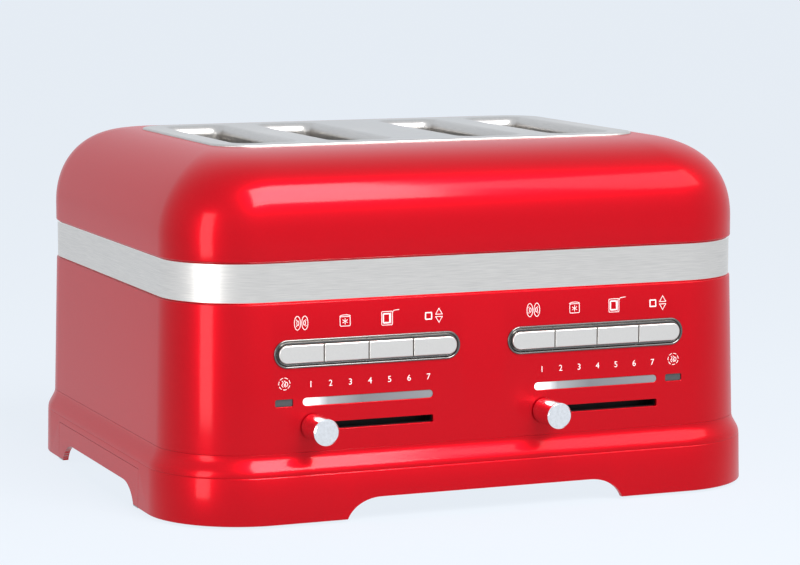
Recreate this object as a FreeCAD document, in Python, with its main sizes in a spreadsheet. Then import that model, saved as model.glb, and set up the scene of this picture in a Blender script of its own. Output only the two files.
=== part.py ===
import FreeCAD, Part
import math
import os
import Sketcher

# Four-slot automatic toaster with two independent sides, in millimetres.
# Frame: +Z up, the floor at Z = 0, X to the right, the control front faces -Y.
# The origin is the middle of the footprint on the floor.

Vector = FreeCAD.Vector
Rotation = FreeCAD.Rotation
Constraint = Sketcher.Constraint

SIZES = [
    ("body_width", 364.0, "housing at the trim band, side to side"),
    ("body_depth", 308.0, "housing at the trim band, front to back"),
    ("body_corner", 50.0, "vertical corner radius at the trim band"),
    ("shell_wall", 2.5, "sheet of the housing and the cover"),
    ("housing_height", 85.8, "lower housing"),
    ("housing_draft", 2.4, "how much the housing grows downwards on each side"),
    ("foot_gap", 1.5, "how far the rubber feet hold the legs off the floor"),
    ("skirt_height", 27.5, "upright skirt of the plinth"),
    ("skirt_draft", 0.6, "growth of the skirt towards the floor"),
    ("flare_height", 12.5, "curved step between plinth and housing"),
    ("flare_out", 4.6, "how far the plinth stands out from the housing"),
    ("base_wall", 3.0, "wall of the plinth"),
    ("arch_height", 12.0, "arches between the legs"),
    ("arch_front", 66.5, "half of the straight top of the front and rear arch"),
    ("arch_side", 55.0, "half of the straight top of the side arches"),
    ("arch_curve", 22.0, "half width of the ellipse that ends an arch"),
    ("arch_drop", 17.0, "half height of that ellipse"),
    ("post_radius", 16.0, "foot post in each corner of the plinth"),
    ("post_inset", 28.0, "post centre out from the corner centre, along X and Y"),
    ("foot_radius", 10.0, "rubber foot"),
    ("foot_seat", 2.5, "depth of the foot's seat in its post"),
    ("band_height", 23.8, "trim band"),
    ("band_recess", 0.8, "trim band behind the housing face"),
    ("dome_rise", 59.7, "cover, from the band to its flat top"),
    ("dome_curve", 48.4, "height of the cover's curved part"),
    ("dome_power_x", 2.0, "roundness of the cover's sides"),
    ("dome_power_y", 3.0, "roundness of the cover's front and back"),
    ("plate_width", 274.0, "slot plate, side to side"),
    ("plate_depth", 172.0, "slot plate, front to back"),
    ("plate_corner", 22.0, "corner radius of the slot plate"),
    ("plate_proud", 1.2, "slot plate above the cover's top"),
    ("plate_flange", 2.4, "edge thickness of the slot plate"),
    ("plate_gap", 0.15, "clearance round the slot plate"),
    ("plate_ledge", 4.5, "ledge in the cover under the slot plate"),
    ("ledge_depth", 3.7, "cover thickness at that ledge, from its top"),
    ("pair_centre", 72.4, "middle of each side's slots and of its controls"),
    ("slot_offset", 30.25, "slot centre from the middle of its pair"),
    ("slot_width", 33.0, "clear width of a bread slot"),
    ("slot_length", 138.0, "clear length of a bread slot"),
    ("slot_corner", 6.0, "corner radius of a bread slot"),
    ("slot_roll", 5.5, "rolled rim of a bread slot"),
    ("slot_rim", 7.0, "wall of the throat round a bread slot"),
    ("throat_depth", 10.0, "depth of that throat below the plate's top"),
    ("pan_sheet", 1.5, "bottom pan"),
    ("pan_gap", 0.4, "bottom pan to plinth"),
    ("tray_window", 85.4, "half width of the crumb tray's window in the plinth"),
    ("tray_window_height", 23.4, "window height above the legs' bottom"),
    ("tray_gap", 0.4, "gap round the crumb tray's front"),
    ("tray_sheet", 0.8, "crumb tray sheet"),
    ("tray_half", 74.0, "half width of the crumb tray"),
    ("tray_rise", 2.0, "crumb tray above the pan"),
    ("tray_rim", 5.0, "rim of the crumb tray"),
    ("tray_inner", 4.0, "inner end of the crumb tray from the middle"),
    ("runner_gap", 0.3, "runner under the tray to the pan"),
    ("oven_half", 76.0, "inner face of the oven's front and rear plate"),
    ("oven_sheet", 1.0, "oven plates"),
    ("oven_gap", 0.3, "oven plates below the slot throats"),
    ("side_clear", 26.0, "outer slot centre to the side reflector"),
    ("reflector_bottom", 26.0, "lower edge of the reflectors above the floor"),
    ("reflector_sheet", 0.8, "side reflectors and partition"),
    ("card_clear", 24.0, "outer and inner heater card from the middle of their slot"),
    ("card_thickness", 1.0, "heater card"),
    ("card_low", 56.0, "heater card's lower edge above the floor"),
    ("card_high", 188.0, "heater card's upper edge above the floor"),
    ("ribbon_thickness", 0.4, "heating ribbon"),
    ("ribbon_height", 1.6, "heating ribbon"),
    ("ribbon_half", 64.0, "half length of a heating ribbon"),
    ("guide_rest", 17.0, "bread guide from the slot centre at rest"),
    ("guide_travel", 6.0, "bread guide's travel towards the bread"),
    ("guide_bar", 2.4, "bread guide's cross bars"),
    ("guide_wire", 0.8, "radius of the guide's wires"),
    ("guide_low", 62.0, "lower cross bar above the floor"),
    ("guide_high", 190.0, "upper cross bar above the floor"),
    ("guide_pitch", 15.0, "distance between guide wires"),
    ("guide_gap", 0.3, "guide bar in its slot"),
    ("lift_travel", 70.0, "travel of the bread lift"),
    ("lift_rest", 112.0, "underside of the bread rack at rest"),
    ("rack_blade", 2.0, "bread rack's blade thickness"),
    ("rack_height", 12.0, "bread rack's blade height"),
    ("rack_front", 81.0, "front end of the bread rack"),
    ("rack_back", 68.0, "rear end of the bread rack"),
    ("rack_tab", 14.0, "width of the tabs that carry the bread"),
    ("rack_slot", 5.0, "slot in the front plate for a bread rack"),
    ("rod_radius", 2.5, "lift guide rod"),
    ("rod_setback", 88.0, "guide rod in front of the middle"),
    ("rod_top", 197.0, "upper end of the guide rod above the floor"),
    ("bush_gap", 0.05, "running clearance of rods and shafts"),
    ("block_half", 10.0, "half width of the lift carriage"),
    ("block_height", 20.0, "lift carriage"),
    ("gear_module", 1.0, "rack and pinion"),
    ("gear_teeth", 12.0, "pinion teeth"),
    ("gear_width", 5.0, "rack and pinion, along the shaft"),
    ("gear_setback", 93.0, "middle of the gear in front of the middle"),
    ("rack_line", 18.0, "rack's pitch line from the guide rod"),
    ("pinion_height", 110.0, "pinion axis above the floor"),
    ("shaft_radius", 2.5, "pinion shaft"),
    ("bracket_setback", 97.0, "rear face of the motor bracket"),
    ("bracket_sheet", 1.5, "motor bracket"),
    ("gearbox_half", 13.0, "half side of the gearbox"),
    ("gearbox_depth", 20.0, "gearbox"),
    ("motor_radius", 9.5, "lift motor"),
    ("motor_length", 34.0, "lift motor"),
    ("board_setback", 15.0, "front of the control board behind the housing face"),
    ("board_sheet", 1.6, "circuit boards"),
    ("boss_radius", 3.5, "board bosses"),
    ("boss_spread", 56.0, "outer bosses from the middle of the controls"),
    ("button_rise", 56.8, "button row above the plinth"),
    ("button_pitch", 27.45, "from button to button"),
    ("button_split", 0.45, "gap between buttons"),
    ("button_height", 10.4, "button"),
    ("button_end", 5.0, "end radius of a button row"),
    ("button_proud", 1.3, "button in front of its bezel"),
    ("button_travel", 1.5, "button's travel"),
    ("button_gap", 0.3, "clearance behind and round a button"),
    ("button_flange", 1.2, "flange that keeps a button in"),
    ("button_edge", 0.8, "rounding of a button's face"),
    ("switch_depth", 3.2, "switch behind each button"),
    ("bezel_width", 114.6, "button bezel"),
    ("bezel_height", 16.5, "button bezel"),
    ("bezel_rim", 1.3, "bezel's lip over the wall"),
    ("bezel_proud", 1.0, "bezel in front of the wall"),
    ("bezel_seat", 0.6, "bezel's seat in the wall"),
    ("bezel_neck", 5.5, "bezel's neck behind its seat"),
    ("fit_gap", 0.1, "clearance of parts set into the wall"),
    ("light_rise", 28.9, "light bar above the plinth"),
    ("light_width", 80.2, "light bar and shade slot"),
    ("light_height", 4.6, "light bar"),
    ("light_sink", 0.3, "light bar behind the wall's face"),
    ("lamp_offset", 51.4, "keep-warm lamp from the middle of the controls"),
    ("lamp_width", 10.8, "keep-warm lamp"),
    ("lamp_height", 4.2, "keep-warm lamp"),
    ("lamp_sink", 1.0, "keep-warm lamp behind the wall's face"),
    ("shade_rise", 14.5, "shade slider above the plinth"),
    ("shade_slot", 4.3, "height of the shade slot"),
    ("shade_travel", 67.9, "travel of the shade knob"),
    ("track_gap", 0.5, "shade track behind the wall"),
    ("track_sheet", 2.0, "front of the shade track"),
    ("track_half", 5.5, "half height of the shade track"),
    ("shoe_half", 4.0, "half width of the slider's shoe"),
    ("stem_width", 5.0, "slider stem"),
    ("stem_height", 3.6, "slider stem"),
    ("stem_reach", 10.0, "slider stem in front of the wall"),
    ("knob_radius", 7.65, "shade knob"),
    ("knob_length", 21.0, "shade knob"),
    ("knob_gap", 1.0, "shade knob in front of the wall"),
    ("knob_edge", 0.8, "chamfer of the shade knob"),
    ("inlet_offset", 100.0, "cord inlet to the left of the middle"),
    ("inlet_rise", 18.0, "cord inlet above the plinth"),
    ("inlet_bore", 3.6, "bore radius of the cord inlet"),
    ("inlet_neck", 6.0, "neck radius of the cord inlet"),
    ("inlet_flange", 9.0, "flange radius of the cord inlet"),
    ("inlet_depth", 7.0, "neck length inside the wall"),
    ("inlet_flange_depth", 3.0, "flange of the cord inlet"),
    ("inlet_seat", 0.3, "flange of the cord inlet off the drafted wall"),
    ("boot_root", 6.4, "radius of the cord's bend relief at the flange"),
    ("boot_tip", 5.2, "radius of the cord's bend relief at its end"),
    ("screw_radius", 1.5, "pan screws"),
    ("screw_head", 3.0, "pan screw head radius"),
    ("screw_hole", 1.7, "holes for the pan screws"),
    ("power_setback", 92.0, "power board behind the middle"),
]

FLARE_STEPS = 6
DOME_STEPS = 12
RIBBON_ROWS = 8
SIDES = (("left", -1), ("right", 1))

# Named heights and places, as expressions on the sheet.
HALF_X = "(Dims.body_width / 2)"
HALF_Y = "(Dims.body_depth / 2)"
CREASE = "(Dims.foot_gap + Dims.skirt_height)"
BASE_TOP = f"({CREASE} + Dims.flare_height)"
HOUSING_TOP = f"({BASE_TOP} + Dims.housing_height)"
BAND_TOP = f"({HOUSING_TOP} + Dims.band_height)"
DOME_TOP = f"({BAND_TOP} + Dims.dome_rise)"
PLATE_TOP = f"({DOME_TOP} + Dims.plate_proud)"
ARCH_TOP = "(Dims.foot_gap + Dims.arch_height)"
PAN_TOP = f"({ARCH_TOP} + Dims.pan_sheet)"
TRAY_FLOOR = f"({PAN_TOP} + Dims.tray_rise)"
OVEN_TOP = f"({PLATE_TOP} - Dims.throat_depth - Dims.oven_gap)"
OVEN_SIDE = "(Dims.pair_centre + Dims.slot_offset + Dims.side_clear)"
OVEN_FACE = "(Dims.oven_half + Dims.oven_sheet)"
SKIRT_OUT = "(Dims.housing_draft + Dims.flare_out)"
BUTTON_Z = f"({BASE_TOP} + Dims.button_rise)"
LIGHT_Z = f"({BASE_TOP} + Dims.light_rise)"
SHADE_Z = f"({BASE_TOP} + Dims.shade_rise)"
INLET_Z = f"({BASE_TOP} + Dims.inlet_rise)"
BOARD_FRONT = f"({HALF_Y} - Dims.board_setback)"
PITCH_RADIUS = "(Dims.gear_module * Dims.gear_teeth / 2)"
LEAST = "0.01"

doc = FreeCAD.newDocument("Toaster")
dims = doc.addObject("Spreadsheet::Sheet", "Dims")
for row, (alias, value, note) in enumerate(SIZES, start=1):
    dims.set(f"A{row}", note)
    dims.set(f"B{row}", str(value))
    dims.setAlias(f"B{row}", alias)
doc.recompute()

nodes = []


def size(alias):
    """The present value of one cell of the sheet."""
    return float(dims.get(alias))


def face_at(height):
    """Distance of the drafted front or rear wall from the middle, at a height."""
    return f"({HALF_Y} + Dims.housing_draft * ({HOUSING_TOP} - ({height})) / Dims.housing_height)"


def bind(thing, **expressions):
    """Ties properties such as Length or Placement_Base_x to expressions."""
    for name, expression in expressions.items():
        thing.setExpression(name.replace("_", "."), str(expression))
    return thing


def place(thing, x="0", y="0", z="0"):
    return bind(thing, Placement_Base_x=x, Placement_Base_y=y, Placement_Base_z=z)


def keep(thing, name):
    """Names an object as a finished node of the toaster."""
    thing.Label = name
    nodes.append(thing)
    return thing


def box(x, y, z, length, width, height):
    """A block from its lowest corner and its three sizes, all expressions."""
    block = doc.addObject("Part::Box", "Block")
    bind(block, Length=length, Width=width, Height=height)
    return place(block, x, y, z)


def span(x0, x1, y0, y1, z0, z1):
    """A block between pairs of planes."""
    return box(x0, y0, z0, f"({x1}) - ({x0})", f"({y1}) - ({y0})", f"({z1}) - ({z0})")


def rod(radius, length, x, y, z, along="Z"):
    """A cylinder that starts at a point and runs along +X, +Y or +Z."""
    turns = {"X": Rotation(Vector(0, 1, 0), 90), "Y": Rotation(Vector(1, 0, 0), -90), "Z": Rotation()}
    piece = doc.addObject("Part::Cylinder", "Rod")
    bind(piece, Radius=radius, Height=length)
    piece.Placement = FreeCAD.Placement(Vector(), turns[along])
    return place(piece, x, y, z)


def cut(base, *tools):
    result = doc.addObject("Part::Cut", "Cut")
    result.Base = base
    result.Tool = tools[0] if len(tools) == 1 else group(*tools)
    return result


def fuse(*pieces):
    result = doc.addObject("Part::MultiFuse", "Joined")
    result.Shapes = list(pieces)
    return result


def group(*pieces):
    """Separate solids held in one object."""
    result = doc.addObject("Part::Compound", "Group")
    result.Links = list(pieces)
    return result


def copy_at(original, x="0", y="0", z="0"):
    """A linked copy of a piece, moved to a place given by expressions."""
    link = doc.addObject("App::Link", "Copy")
    link.LinkedObject = original
    link.LinkTransform = True
    return place(link, x, y, z)


def rounded(sketch, half_x, half_y, radius):
    """Fills a sketch with a rounded rectangle about its own origin."""
    side, end, bend = 50.0, 30.0, 10.0
    corners = ((side - bend, end - bend), (bend - side, end - bend),
               (bend - side, bend - end), (side - bend, bend - end))
    for turn, (x, y) in enumerate(corners):
        circle = Part.Circle(Vector(x, y, 0), Vector(0, 0, 1), bend)
        start = turn * math.pi / 2
        sketch.addGeometry(Part.ArcOfCircle(circle, start, start + math.pi / 2))
    straights = (((side - bend, end), (bend - side, end)), ((-side, end - bend), (-side, bend - end)),
                 ((bend - side, -end), (side - bend, -end)), ((side, bend - end), (side, end - bend)))
    for first, last in straights:
        sketch.addGeometry(Part.LineSegment(Vector(*first, 0), Vector(*last, 0)))
    for turn in range(4):
        sketch.addConstraint(Constraint("Tangent", turn, 2, 4 + turn, 1))
        sketch.addConstraint(Constraint("Tangent", 4 + turn, 2, (turn + 1) % 4, 1))
    sketch.addConstraint([Constraint("Horizontal", 4), Constraint("Vertical", 5),
                          Constraint("Horizontal", 6), Constraint("Vertical", 7)])
    sketch.addConstraint([Constraint("Equal", 0, other) for other in (1, 2, 3)])
    sketch.addConstraint(Constraint("Symmetric", 0, 3, 2, 3, -1, 1))
    named = (("bend", Constraint("Radius", 0, bend), radius),
             ("across", Constraint("DistanceX", 1, 3, 0, 3, 2 * (side - bend)), f"2 * (({half_x}) - ({radius}))"),
             ("along", Constraint("DistanceY", 2, 3, 1, 3, 2 * (end - bend)), f"2 * (({half_y}) - ({radius}))"))
    for name, constraint, expression in named:
        index = sketch.addConstraint(constraint)
        sketch.renameConstraint(index, name)
        sketch.setExpression(f"Constraints.{name}", expression)
    return sketch


def circle(sketch, radius):
    """Fills a sketch with one circle about its own origin."""
    sketch.addGeometry(Part.Circle(Vector(0, 0, 0), Vector(0, 0, 1), 5.0))
    sketch.addConstraint(Constraint("Coincident", 0, 3, -1, 1))
    index = sketch.addConstraint(Constraint("Radius", 0, 5.0))
    sketch.renameConstraint(index, "radius")
    sketch.setExpression("Constraints.radius", radius)
    return sketch


def polygon(sketch, points):
    """Fills a sketch with straight sides between points, each an (x, y) pair of expressions."""
    count = len(points)
    ring = [Vector(math.cos(2 * math.pi * step / count), math.sin(2 * math.pi * step / count), 0)
            for step in range(count)]
    for step in range(count):
        sketch.addGeometry(Part.LineSegment(ring[step], ring[(step + 1) % count]))
    for step in range(count):
        sketch.addConstraint(Constraint("Coincident", step, 2, (step + 1) % count, 1))
    for step, (x, y) in enumerate(points):
        for name, kind, expression, value in ((f"x{step}", "DistanceX", x, ring[step].x),
                                              (f"y{step}", "DistanceY", y, ring[step].y)):
            index = sketch.addConstraint(Constraint(kind, -1, 1, step, 1, value))
            sketch.renameConstraint(index, name)
            sketch.setExpression(f"Constraints.{name}", expression)
    return sketch


def section(half_x, half_y, radius, z):
    """A level rounded rectangle."""
    sketch = rounded(doc.addObject("Sketcher::SketchObject", "Section"), half_x, half_y, radius)
    return place(sketch, z=z)


def stack(sections):
    """A solid that runs straight from each section to the next."""
    loft = doc.addObject("Part::Loft", "Stack")
    loft.Sections = sections
    loft.Solid = True
    loft.Ruled = True
    return loft


def slab(half_x, half_y, radius, z, height):
    """An upright prism on a rounded rectangle about the Z axis."""
    prism = doc.addObject("Part::Extrusion", "Slab")
    prism.Base = section(half_x, half_y, radius, z)
    prism.DirMode = "Normal"
    prism.Solid = True
    return bind(prism, LengthFwd=height)


def wall_prism(half_x, half_z, radius, x, back, z, depth):
    """A prism through the front wall: from Y = -back, a depth towards -Y."""
    sketch = rounded(doc.addObject("Sketcher::SketchObject", "Outline"), half_x, half_z, radius)
    sketch.Placement = FreeCAD.Placement(Vector(), Rotation(Vector(1, 0, 0), 90))
    place(sketch, x, f"-({back})", z)
    prism = doc.addObject("Part::Extrusion", "Prism")
    prism.Base = sketch
    prism.DirMode = "Normal"
    prism.Solid = True
    return bind(prism, LengthFwd=depth)


def origin_plane(body, role):
    return [item for item in body.Origin.OriginFeatures if item.Role == role][0]


def body_sketch(body, role, offset="0"):
    """A sketch on one of a body's origin planes, moved along the plane's normal."""
    sketch = body.newObject("Sketcher::SketchObject", "Sketch")
    sketch.AttachmentSupport = [(origin_plane(body, role), "")]
    sketch.MapMode = "FlatFace"
    return bind(sketch, AttachmentOffset_Base_z=offset)


def pad(body, sketch, length, reverse=False):
    feature = body.newObject("PartDesign::Pad", "Pad")
    feature.Profile = sketch
    feature.Reversed = reverse
    bind(feature, Length=length)
    doc.recompute()
    return feature


def pocket(body, sketch, length):
    """Cuts against the sketch's normal, and makes sure that something was cut."""
    before = body.Shape.Volume
    feature = body.newObject("PartDesign::Pocket", "Pocket")
    feature.Profile = sketch
    bind(feature, Length=length)
    doc.recompute()
    if body.Shape.Volume >= before - 0.01:
        raise RuntimeError(f"a pocket in {body.Label} cuts nothing")
    return feature


def edges_where(shape, test):
    """Names of the edges whose middle passes a test."""
    names = []
    for index, edge in enumerate(shape.Edges, start=1):
        middle = edge.valueAt((edge.FirstParameter + edge.LastParameter) / 2)
        if test(middle, edge):
            names.append(f"Edge{index}")
    return names


def round_edges(body, kind, amount, test):
    """A fillet or a chamfer on the edges of the body's last feature that pass a test."""
    base = body.Tip
    names = edges_where(base.Shape, test)
    feature = body.newObject(f"PartDesign::{kind}", kind)
    feature.Base = (base, names)
    if kind == "Fillet":
        bind(feature, Radius=amount)
    else:
        bind(feature, Size=amount)
    doc.recompute()
    return feature


def ring_wall(out, z0, z1, wall):
    """An upright ring that follows the body's outline, grown by an amount."""
    outer = slab(f"{HALF_X} + {out}", f"{HALF_Y} + {out}", f"Dims.body_corner + {out}", z0, f"({z1}) - ({z0})")
    inner = slab(f"{HALF_X} + {out} - {wall}", f"{HALF_Y} + {out} - {wall}",
                 f"Dims.body_corner + {out} - {wall}", f"{z0} - 1", f"({z1}) - ({z0}) + 2")
    return cut(outer, inner)


# ---- plinth, feet, pan and crumb trays ----

def plinth_levels(inset, low, high):
    """Sections of the plinth: an upright skirt, then a cove that runs into the housing."""
    def level(z, out):
        grown = f"({out}) - ({inset})"
        return section(f"{HALF_X} + {grown}", f"{HALF_Y} + {grown}", f"Dims.body_corner + {grown}", z)

    levels = [level(f"Dims.foot_gap - ({low})", f"{SKIRT_OUT} + Dims.skirt_draft"), level(CREASE, SKIRT_OUT)]
    for step in range(1, FLARE_STEPS + 1):
        part = step / FLARE_STEPS
        # The step eases in and out: half a cosine wave from the skirt to the housing.
        share = (1 + math.cos(math.pi * part)) / 2
        levels.append(level(f"{CREASE} + Dims.flare_height * {part}",
                            f"Dims.housing_draft + Dims.flare_out * {share}"))
    if high != "0":
        levels.append(level(f"{BASE_TOP} + {high}", "Dims.housing_draft"))
    return levels


def arch_tool(half_top, across):
    """The space of one pair of arches: a block and two elliptic ends, along one axis."""
    reach = f"({HALF_X} + {HALF_Y})"
    floor = "(Dims.foot_gap - 1)"
    if across == "X":
        middle = span(f"-{half_top}", half_top, f"-{reach}", reach, floor, ARCH_TOP)
    else:
        middle = span(f"-{reach}", reach, f"-{half_top}", half_top, floor, ARCH_TOP)
    ends = []
    for sign in (-1, 1):
        oval = doc.addObject("Part::Ellipse", "Oval")
        bind(oval, MajorRadius="Dims.arch_curve", MinorRadius="Dims.arch_drop")
        low = f"{ARCH_TOP} - Dims.arch_drop"
        if across == "X":
            oval.Placement = FreeCAD.Placement(Vector(), Rotation(Vector(1, 0, 0), 90))
            place(oval, f"{sign} * {half_top}", f"-{reach}", low)
        else:
            oval.Placement = FreeCAD.Placement(Vector(), Rotation(Vector(1, 1, 1), 120))
            place(oval, f"-{reach}", f"{sign} * {half_top}", low)
        tunnel = doc.addObject("Part::Extrusion", "Tunnel")
        tunnel.Base = oval
        tunnel.DirMode = "Custom"
        tunnel.Dir = Vector(0, 1, 0) if across == "X" else Vector(1, 0, 0)
        tunnel.Solid = True
        ends.append(bind(tunnel, LengthFwd=f"2 * {reach}"))
    return fuse(middle, *ends)


def make_plinth():
    outer = stack(plinth_levels("0", "0", "0"))
    inner = stack(plinth_levels("Dims.base_wall", "1", "1"))
    arches = (arch_tool("Dims.arch_front", "X"), arch_tool("Dims.arch_side", "Y"))
    shell = cut(cut(outer, inner), *arches)
    posts = []
    seats = []
    feet = []
    for sign_x in (-1, 1):
        for sign_y in (-1, 1):
            x = f"{sign_x} * ({HALF_X} - Dims.body_corner + Dims.post_inset)"
            y = f"{sign_y} * ({HALF_Y} - Dims.body_corner + Dims.post_inset)"
            posts.append(rod("Dims.post_radius", "Dims.arch_height", x, y, "Dims.foot_gap"))
            seats.append(rod("Dims.foot_radius + Dims.fit_gap", "Dims.foot_seat + 1", x, y, "Dims.foot_gap - 1"))
            feet.append(rod("Dims.foot_radius", "Dims.foot_gap + Dims.foot_seat", x, y, "0"))
    far = f"({HALF_X} + 3 * {SKIRT_OUT})"
    near = f"({HALF_X} - {SKIRT_OUT})"
    window_top = "Dims.foot_gap + Dims.tray_window_height"
    windows = [span(f"-{far}", f"-{near}", "-Dims.tray_window", "Dims.tray_window", "0", window_top),
               span(near, far, "-Dims.tray_window", "Dims.tray_window", "0", window_top)]
    keep(cut(fuse(shell, *posts), *seats, *windows), "base_plinth")
    keep(group(*feet), "rubber_feet")
    return shell


def screw_places():
    """Where the pan's screws pass into the flanges of the oven plates."""
    middle = "(Dims.oven_half - 5)"
    return [(f"{sign_x} * {reach}", f"{sign_y} * {middle}")
            for sign_x in (-1, 1) for sign_y in (-1, 1) for reach in ("40", f"({OVEN_SIDE} - 20)")]


def make_pan():
    grown = f"{SKIRT_OUT} - Dims.base_wall - Dims.pan_gap"
    sheet = slab(f"{HALF_X} + {grown}", f"{HALF_Y} + {grown}", f"Dims.body_corner + {grown}",
                 ARCH_TOP, "Dims.pan_sheet")
    holes = [rod("Dims.screw_hole", "Dims.pan_sheet + 2", x, y, f"{ARCH_TOP} - 1") for x, y in screw_places()]
    keep(cut(sheet, *holes), "bottom_pan")
    shank = "Dims.pan_sheet + Dims.oven_sheet + 0.5"
    one = fuse(rod("Dims.screw_head", "1.8", "0", "0", "-1.8"), rod("Dims.screw_radius", shank, "0", "0", "0"))
    keep(group(*[copy_at(one, x, y, ARCH_TOP) for x, y in screw_places()]), "pan_screws")


def make_trays(plinth_shell):
    half = "(Dims.tray_window - Dims.tray_gap)"
    inside = f"({HALF_X} + {SKIRT_OUT} - Dims.base_wall)"
    outside = f"({HALF_X} + 3 * {SKIRT_OUT})"
    top = "Dims.foot_gap + Dims.tray_window_height - Dims.tray_gap"
    rim_top = f"{TRAY_FLOOR} + Dims.tray_sheet + Dims.tray_rim"
    for name, sign in SIDES:
        def across(near, far, *rest):
            if sign > 0:
                return span(near, far, *rest)
            return span(f"-({far})", f"-({near})", *rest)

        front = doc.addObject("Part::Common", "Front")
        front.Base = plinth_shell
        front.Tool = across(f"{inside} - 2", outside, f"-{half}", half, "0", top)
        floor_top = f"{TRAY_FLOOR} + Dims.tray_sheet"
        sheet = across("Dims.tray_inner", f"{inside} + 1", "-Dims.tray_half", "Dims.tray_half", TRAY_FLOOR, floor_top)
        pieces = [front, sheet]
        for edge in (-1, 1):
            inner = f"{edge} * (Dims.tray_half - Dims.tray_sheet / 2)"
            pieces.append(across("Dims.tray_inner", f"{inside} + 1", f"{inner} - Dims.tray_sheet / 2",
                                 f"{inner} + Dims.tray_sheet / 2", TRAY_FLOOR, rim_top))
            runner = f"{edge} * Dims.tray_half * 0.8"
            pieces.append(across("Dims.tray_inner + 6", f"{inside} - 6", f"{runner} - 1", f"{runner} + 1",
                                 f"{PAN_TOP} + Dims.runner_gap", floor_top))
        pieces.append(across("Dims.tray_inner", "Dims.tray_inner + Dims.tray_sheet",
                             "-Dims.tray_half", "Dims.tray_half", TRAY_FLOOR, rim_top))
        keep(fuse(*pieces), f"crumb_tray_{name}")


# ---- housing, trim band, cover and slot plate ----

def housing_shell():
    outer = stack([section(f"{HALF_X} + {out}", f"{HALF_Y} + {out}", f"Dims.body_corner + {out}", z)
                   for out, z in (("Dims.housing_draft", BASE_TOP), ("0", HOUSING_TOP))])
    inner = stack([section(f"{HALF_X} + {out} - Dims.shell_wall", f"{HALF_Y} + {out} - Dims.shell_wall",
                           f"Dims.body_corner + {out} - Dims.shell_wall", z)
                   for out, z in (("Dims.housing_draft", f"{BASE_TOP} - 0.1"), ("0", f"{HOUSING_TOP} + 0.1"))])
    return cut(outer, inner)


def group_x(sign):
    return f"({sign} * Dims.pair_centre)"


def make_housing():
    deep = "12"
    openings = []
    for name, sign in SIDES:
        x = group_x(sign)
        seat_back = f"{face_at(BUTTON_Z)} - Dims.bezel_seat"
        inner_x = "(Dims.bezel_width / 2 - Dims.bezel_rim + Dims.fit_gap)"
        inner_z = "(Dims.bezel_height / 2 - Dims.bezel_rim + Dims.fit_gap)"
        openings.append(wall_prism("Dims.bezel_width / 2 + Dims.fit_gap", "Dims.bezel_height / 2 + Dims.fit_gap",
                                   "Dims.bezel_height / 2", x, seat_back, BUTTON_Z, "5"))
        openings.append(wall_prism(inner_x, inner_z, f"{inner_z} - {LEAST}", x, f"{seat_back} - 6",
                                   BUTTON_Z, deep))
        openings.append(wall_prism("Dims.light_width / 2", "Dims.light_height / 2",
                                   f"Dims.light_height / 2 - {LEAST}", x, f"{face_at(LIGHT_Z)} - 6",
                                   LIGHT_Z, deep))
        openings.append(wall_prism("Dims.light_width / 2", "Dims.shade_slot / 2", "0.8", x,
                                   f"{face_at(SHADE_Z)} - 6", SHADE_Z, deep))
        openings.append(wall_prism("Dims.lamp_width / 2", "Dims.lamp_height / 2", "1",
                                   f"{sign} * (Dims.pair_centre + Dims.lamp_offset)",
                                   f"{face_at(LIGHT_Z)} - 6", LIGHT_Z, deep))
    openings.append(rod("Dims.inlet_neck + Dims.fit_gap", deep, "-Dims.inlet_offset",
                        f"{face_at(INLET_Z)} - 6", INLET_Z, "Y"))
    bosses = []
    upper = f"({BUTTON_Z} + Dims.bezel_height / 2 + Dims.boss_radius + 1)"
    for x in ("0", "(Dims.pair_centre + Dims.boss_spread)", "-(Dims.pair_centre + Dims.boss_spread)"):
        for z in (SHADE_Z, upper):
            start = f"({face_at(z)} - Dims.shell_wall / 2)"
            bosses.append(rod("Dims.boss_radius", f"{start} - {BOARD_FRONT}", x, f"-{start}", z, "Y"))
    keep(fuse(cut(housing_shell(), *openings), *bosses), "lower_housing")


def make_band():
    keep(ring_wall("(-Dims.band_recess)", HOUSING_TOP, BAND_TOP, "Dims.shell_wall"), "trim_band")


def dome_levels(wall, top_half_x, top_half_y, top_corner, top):
    """Sections of the cover: upright at first, then two superellipses, one for X and one for Y."""
    def level(share, z):
        rise_x = f"(1 - {share} ^ Dims.dome_power_x) ^ (1 / Dims.dome_power_x)"
        rise_y = f"(1 - {share} ^ Dims.dome_power_y) ^ (1 / Dims.dome_power_y)"
        rise_corner = f"(1 - {share} ^ 2) ^ 0.5"
        half_x = f"({top_half_x} + ({HALF_X} - {wall} - {top_half_x}) * {rise_x})"
        half_y = f"({top_half_y} + ({HALF_Y} - {wall} - {top_half_y}) * {rise_y})"
        corner = f"({top_corner} + (Dims.body_corner - {wall} - {top_corner}) * {rise_corner})"
        return section(half_x, half_y, corner, z)

    spring = f"({DOME_TOP} - Dims.dome_curve)"
    levels = [level(0, f"{spring} + ({top} - {spring}) * 0")]
    for step in range(1, DOME_STEPS + 1):
        share = round(math.sin(step * math.pi / 2 / DOME_STEPS), 6)
        levels.append(level(share, f"{spring} + ({top} - {spring}) * {share}"))
    return levels


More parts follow.
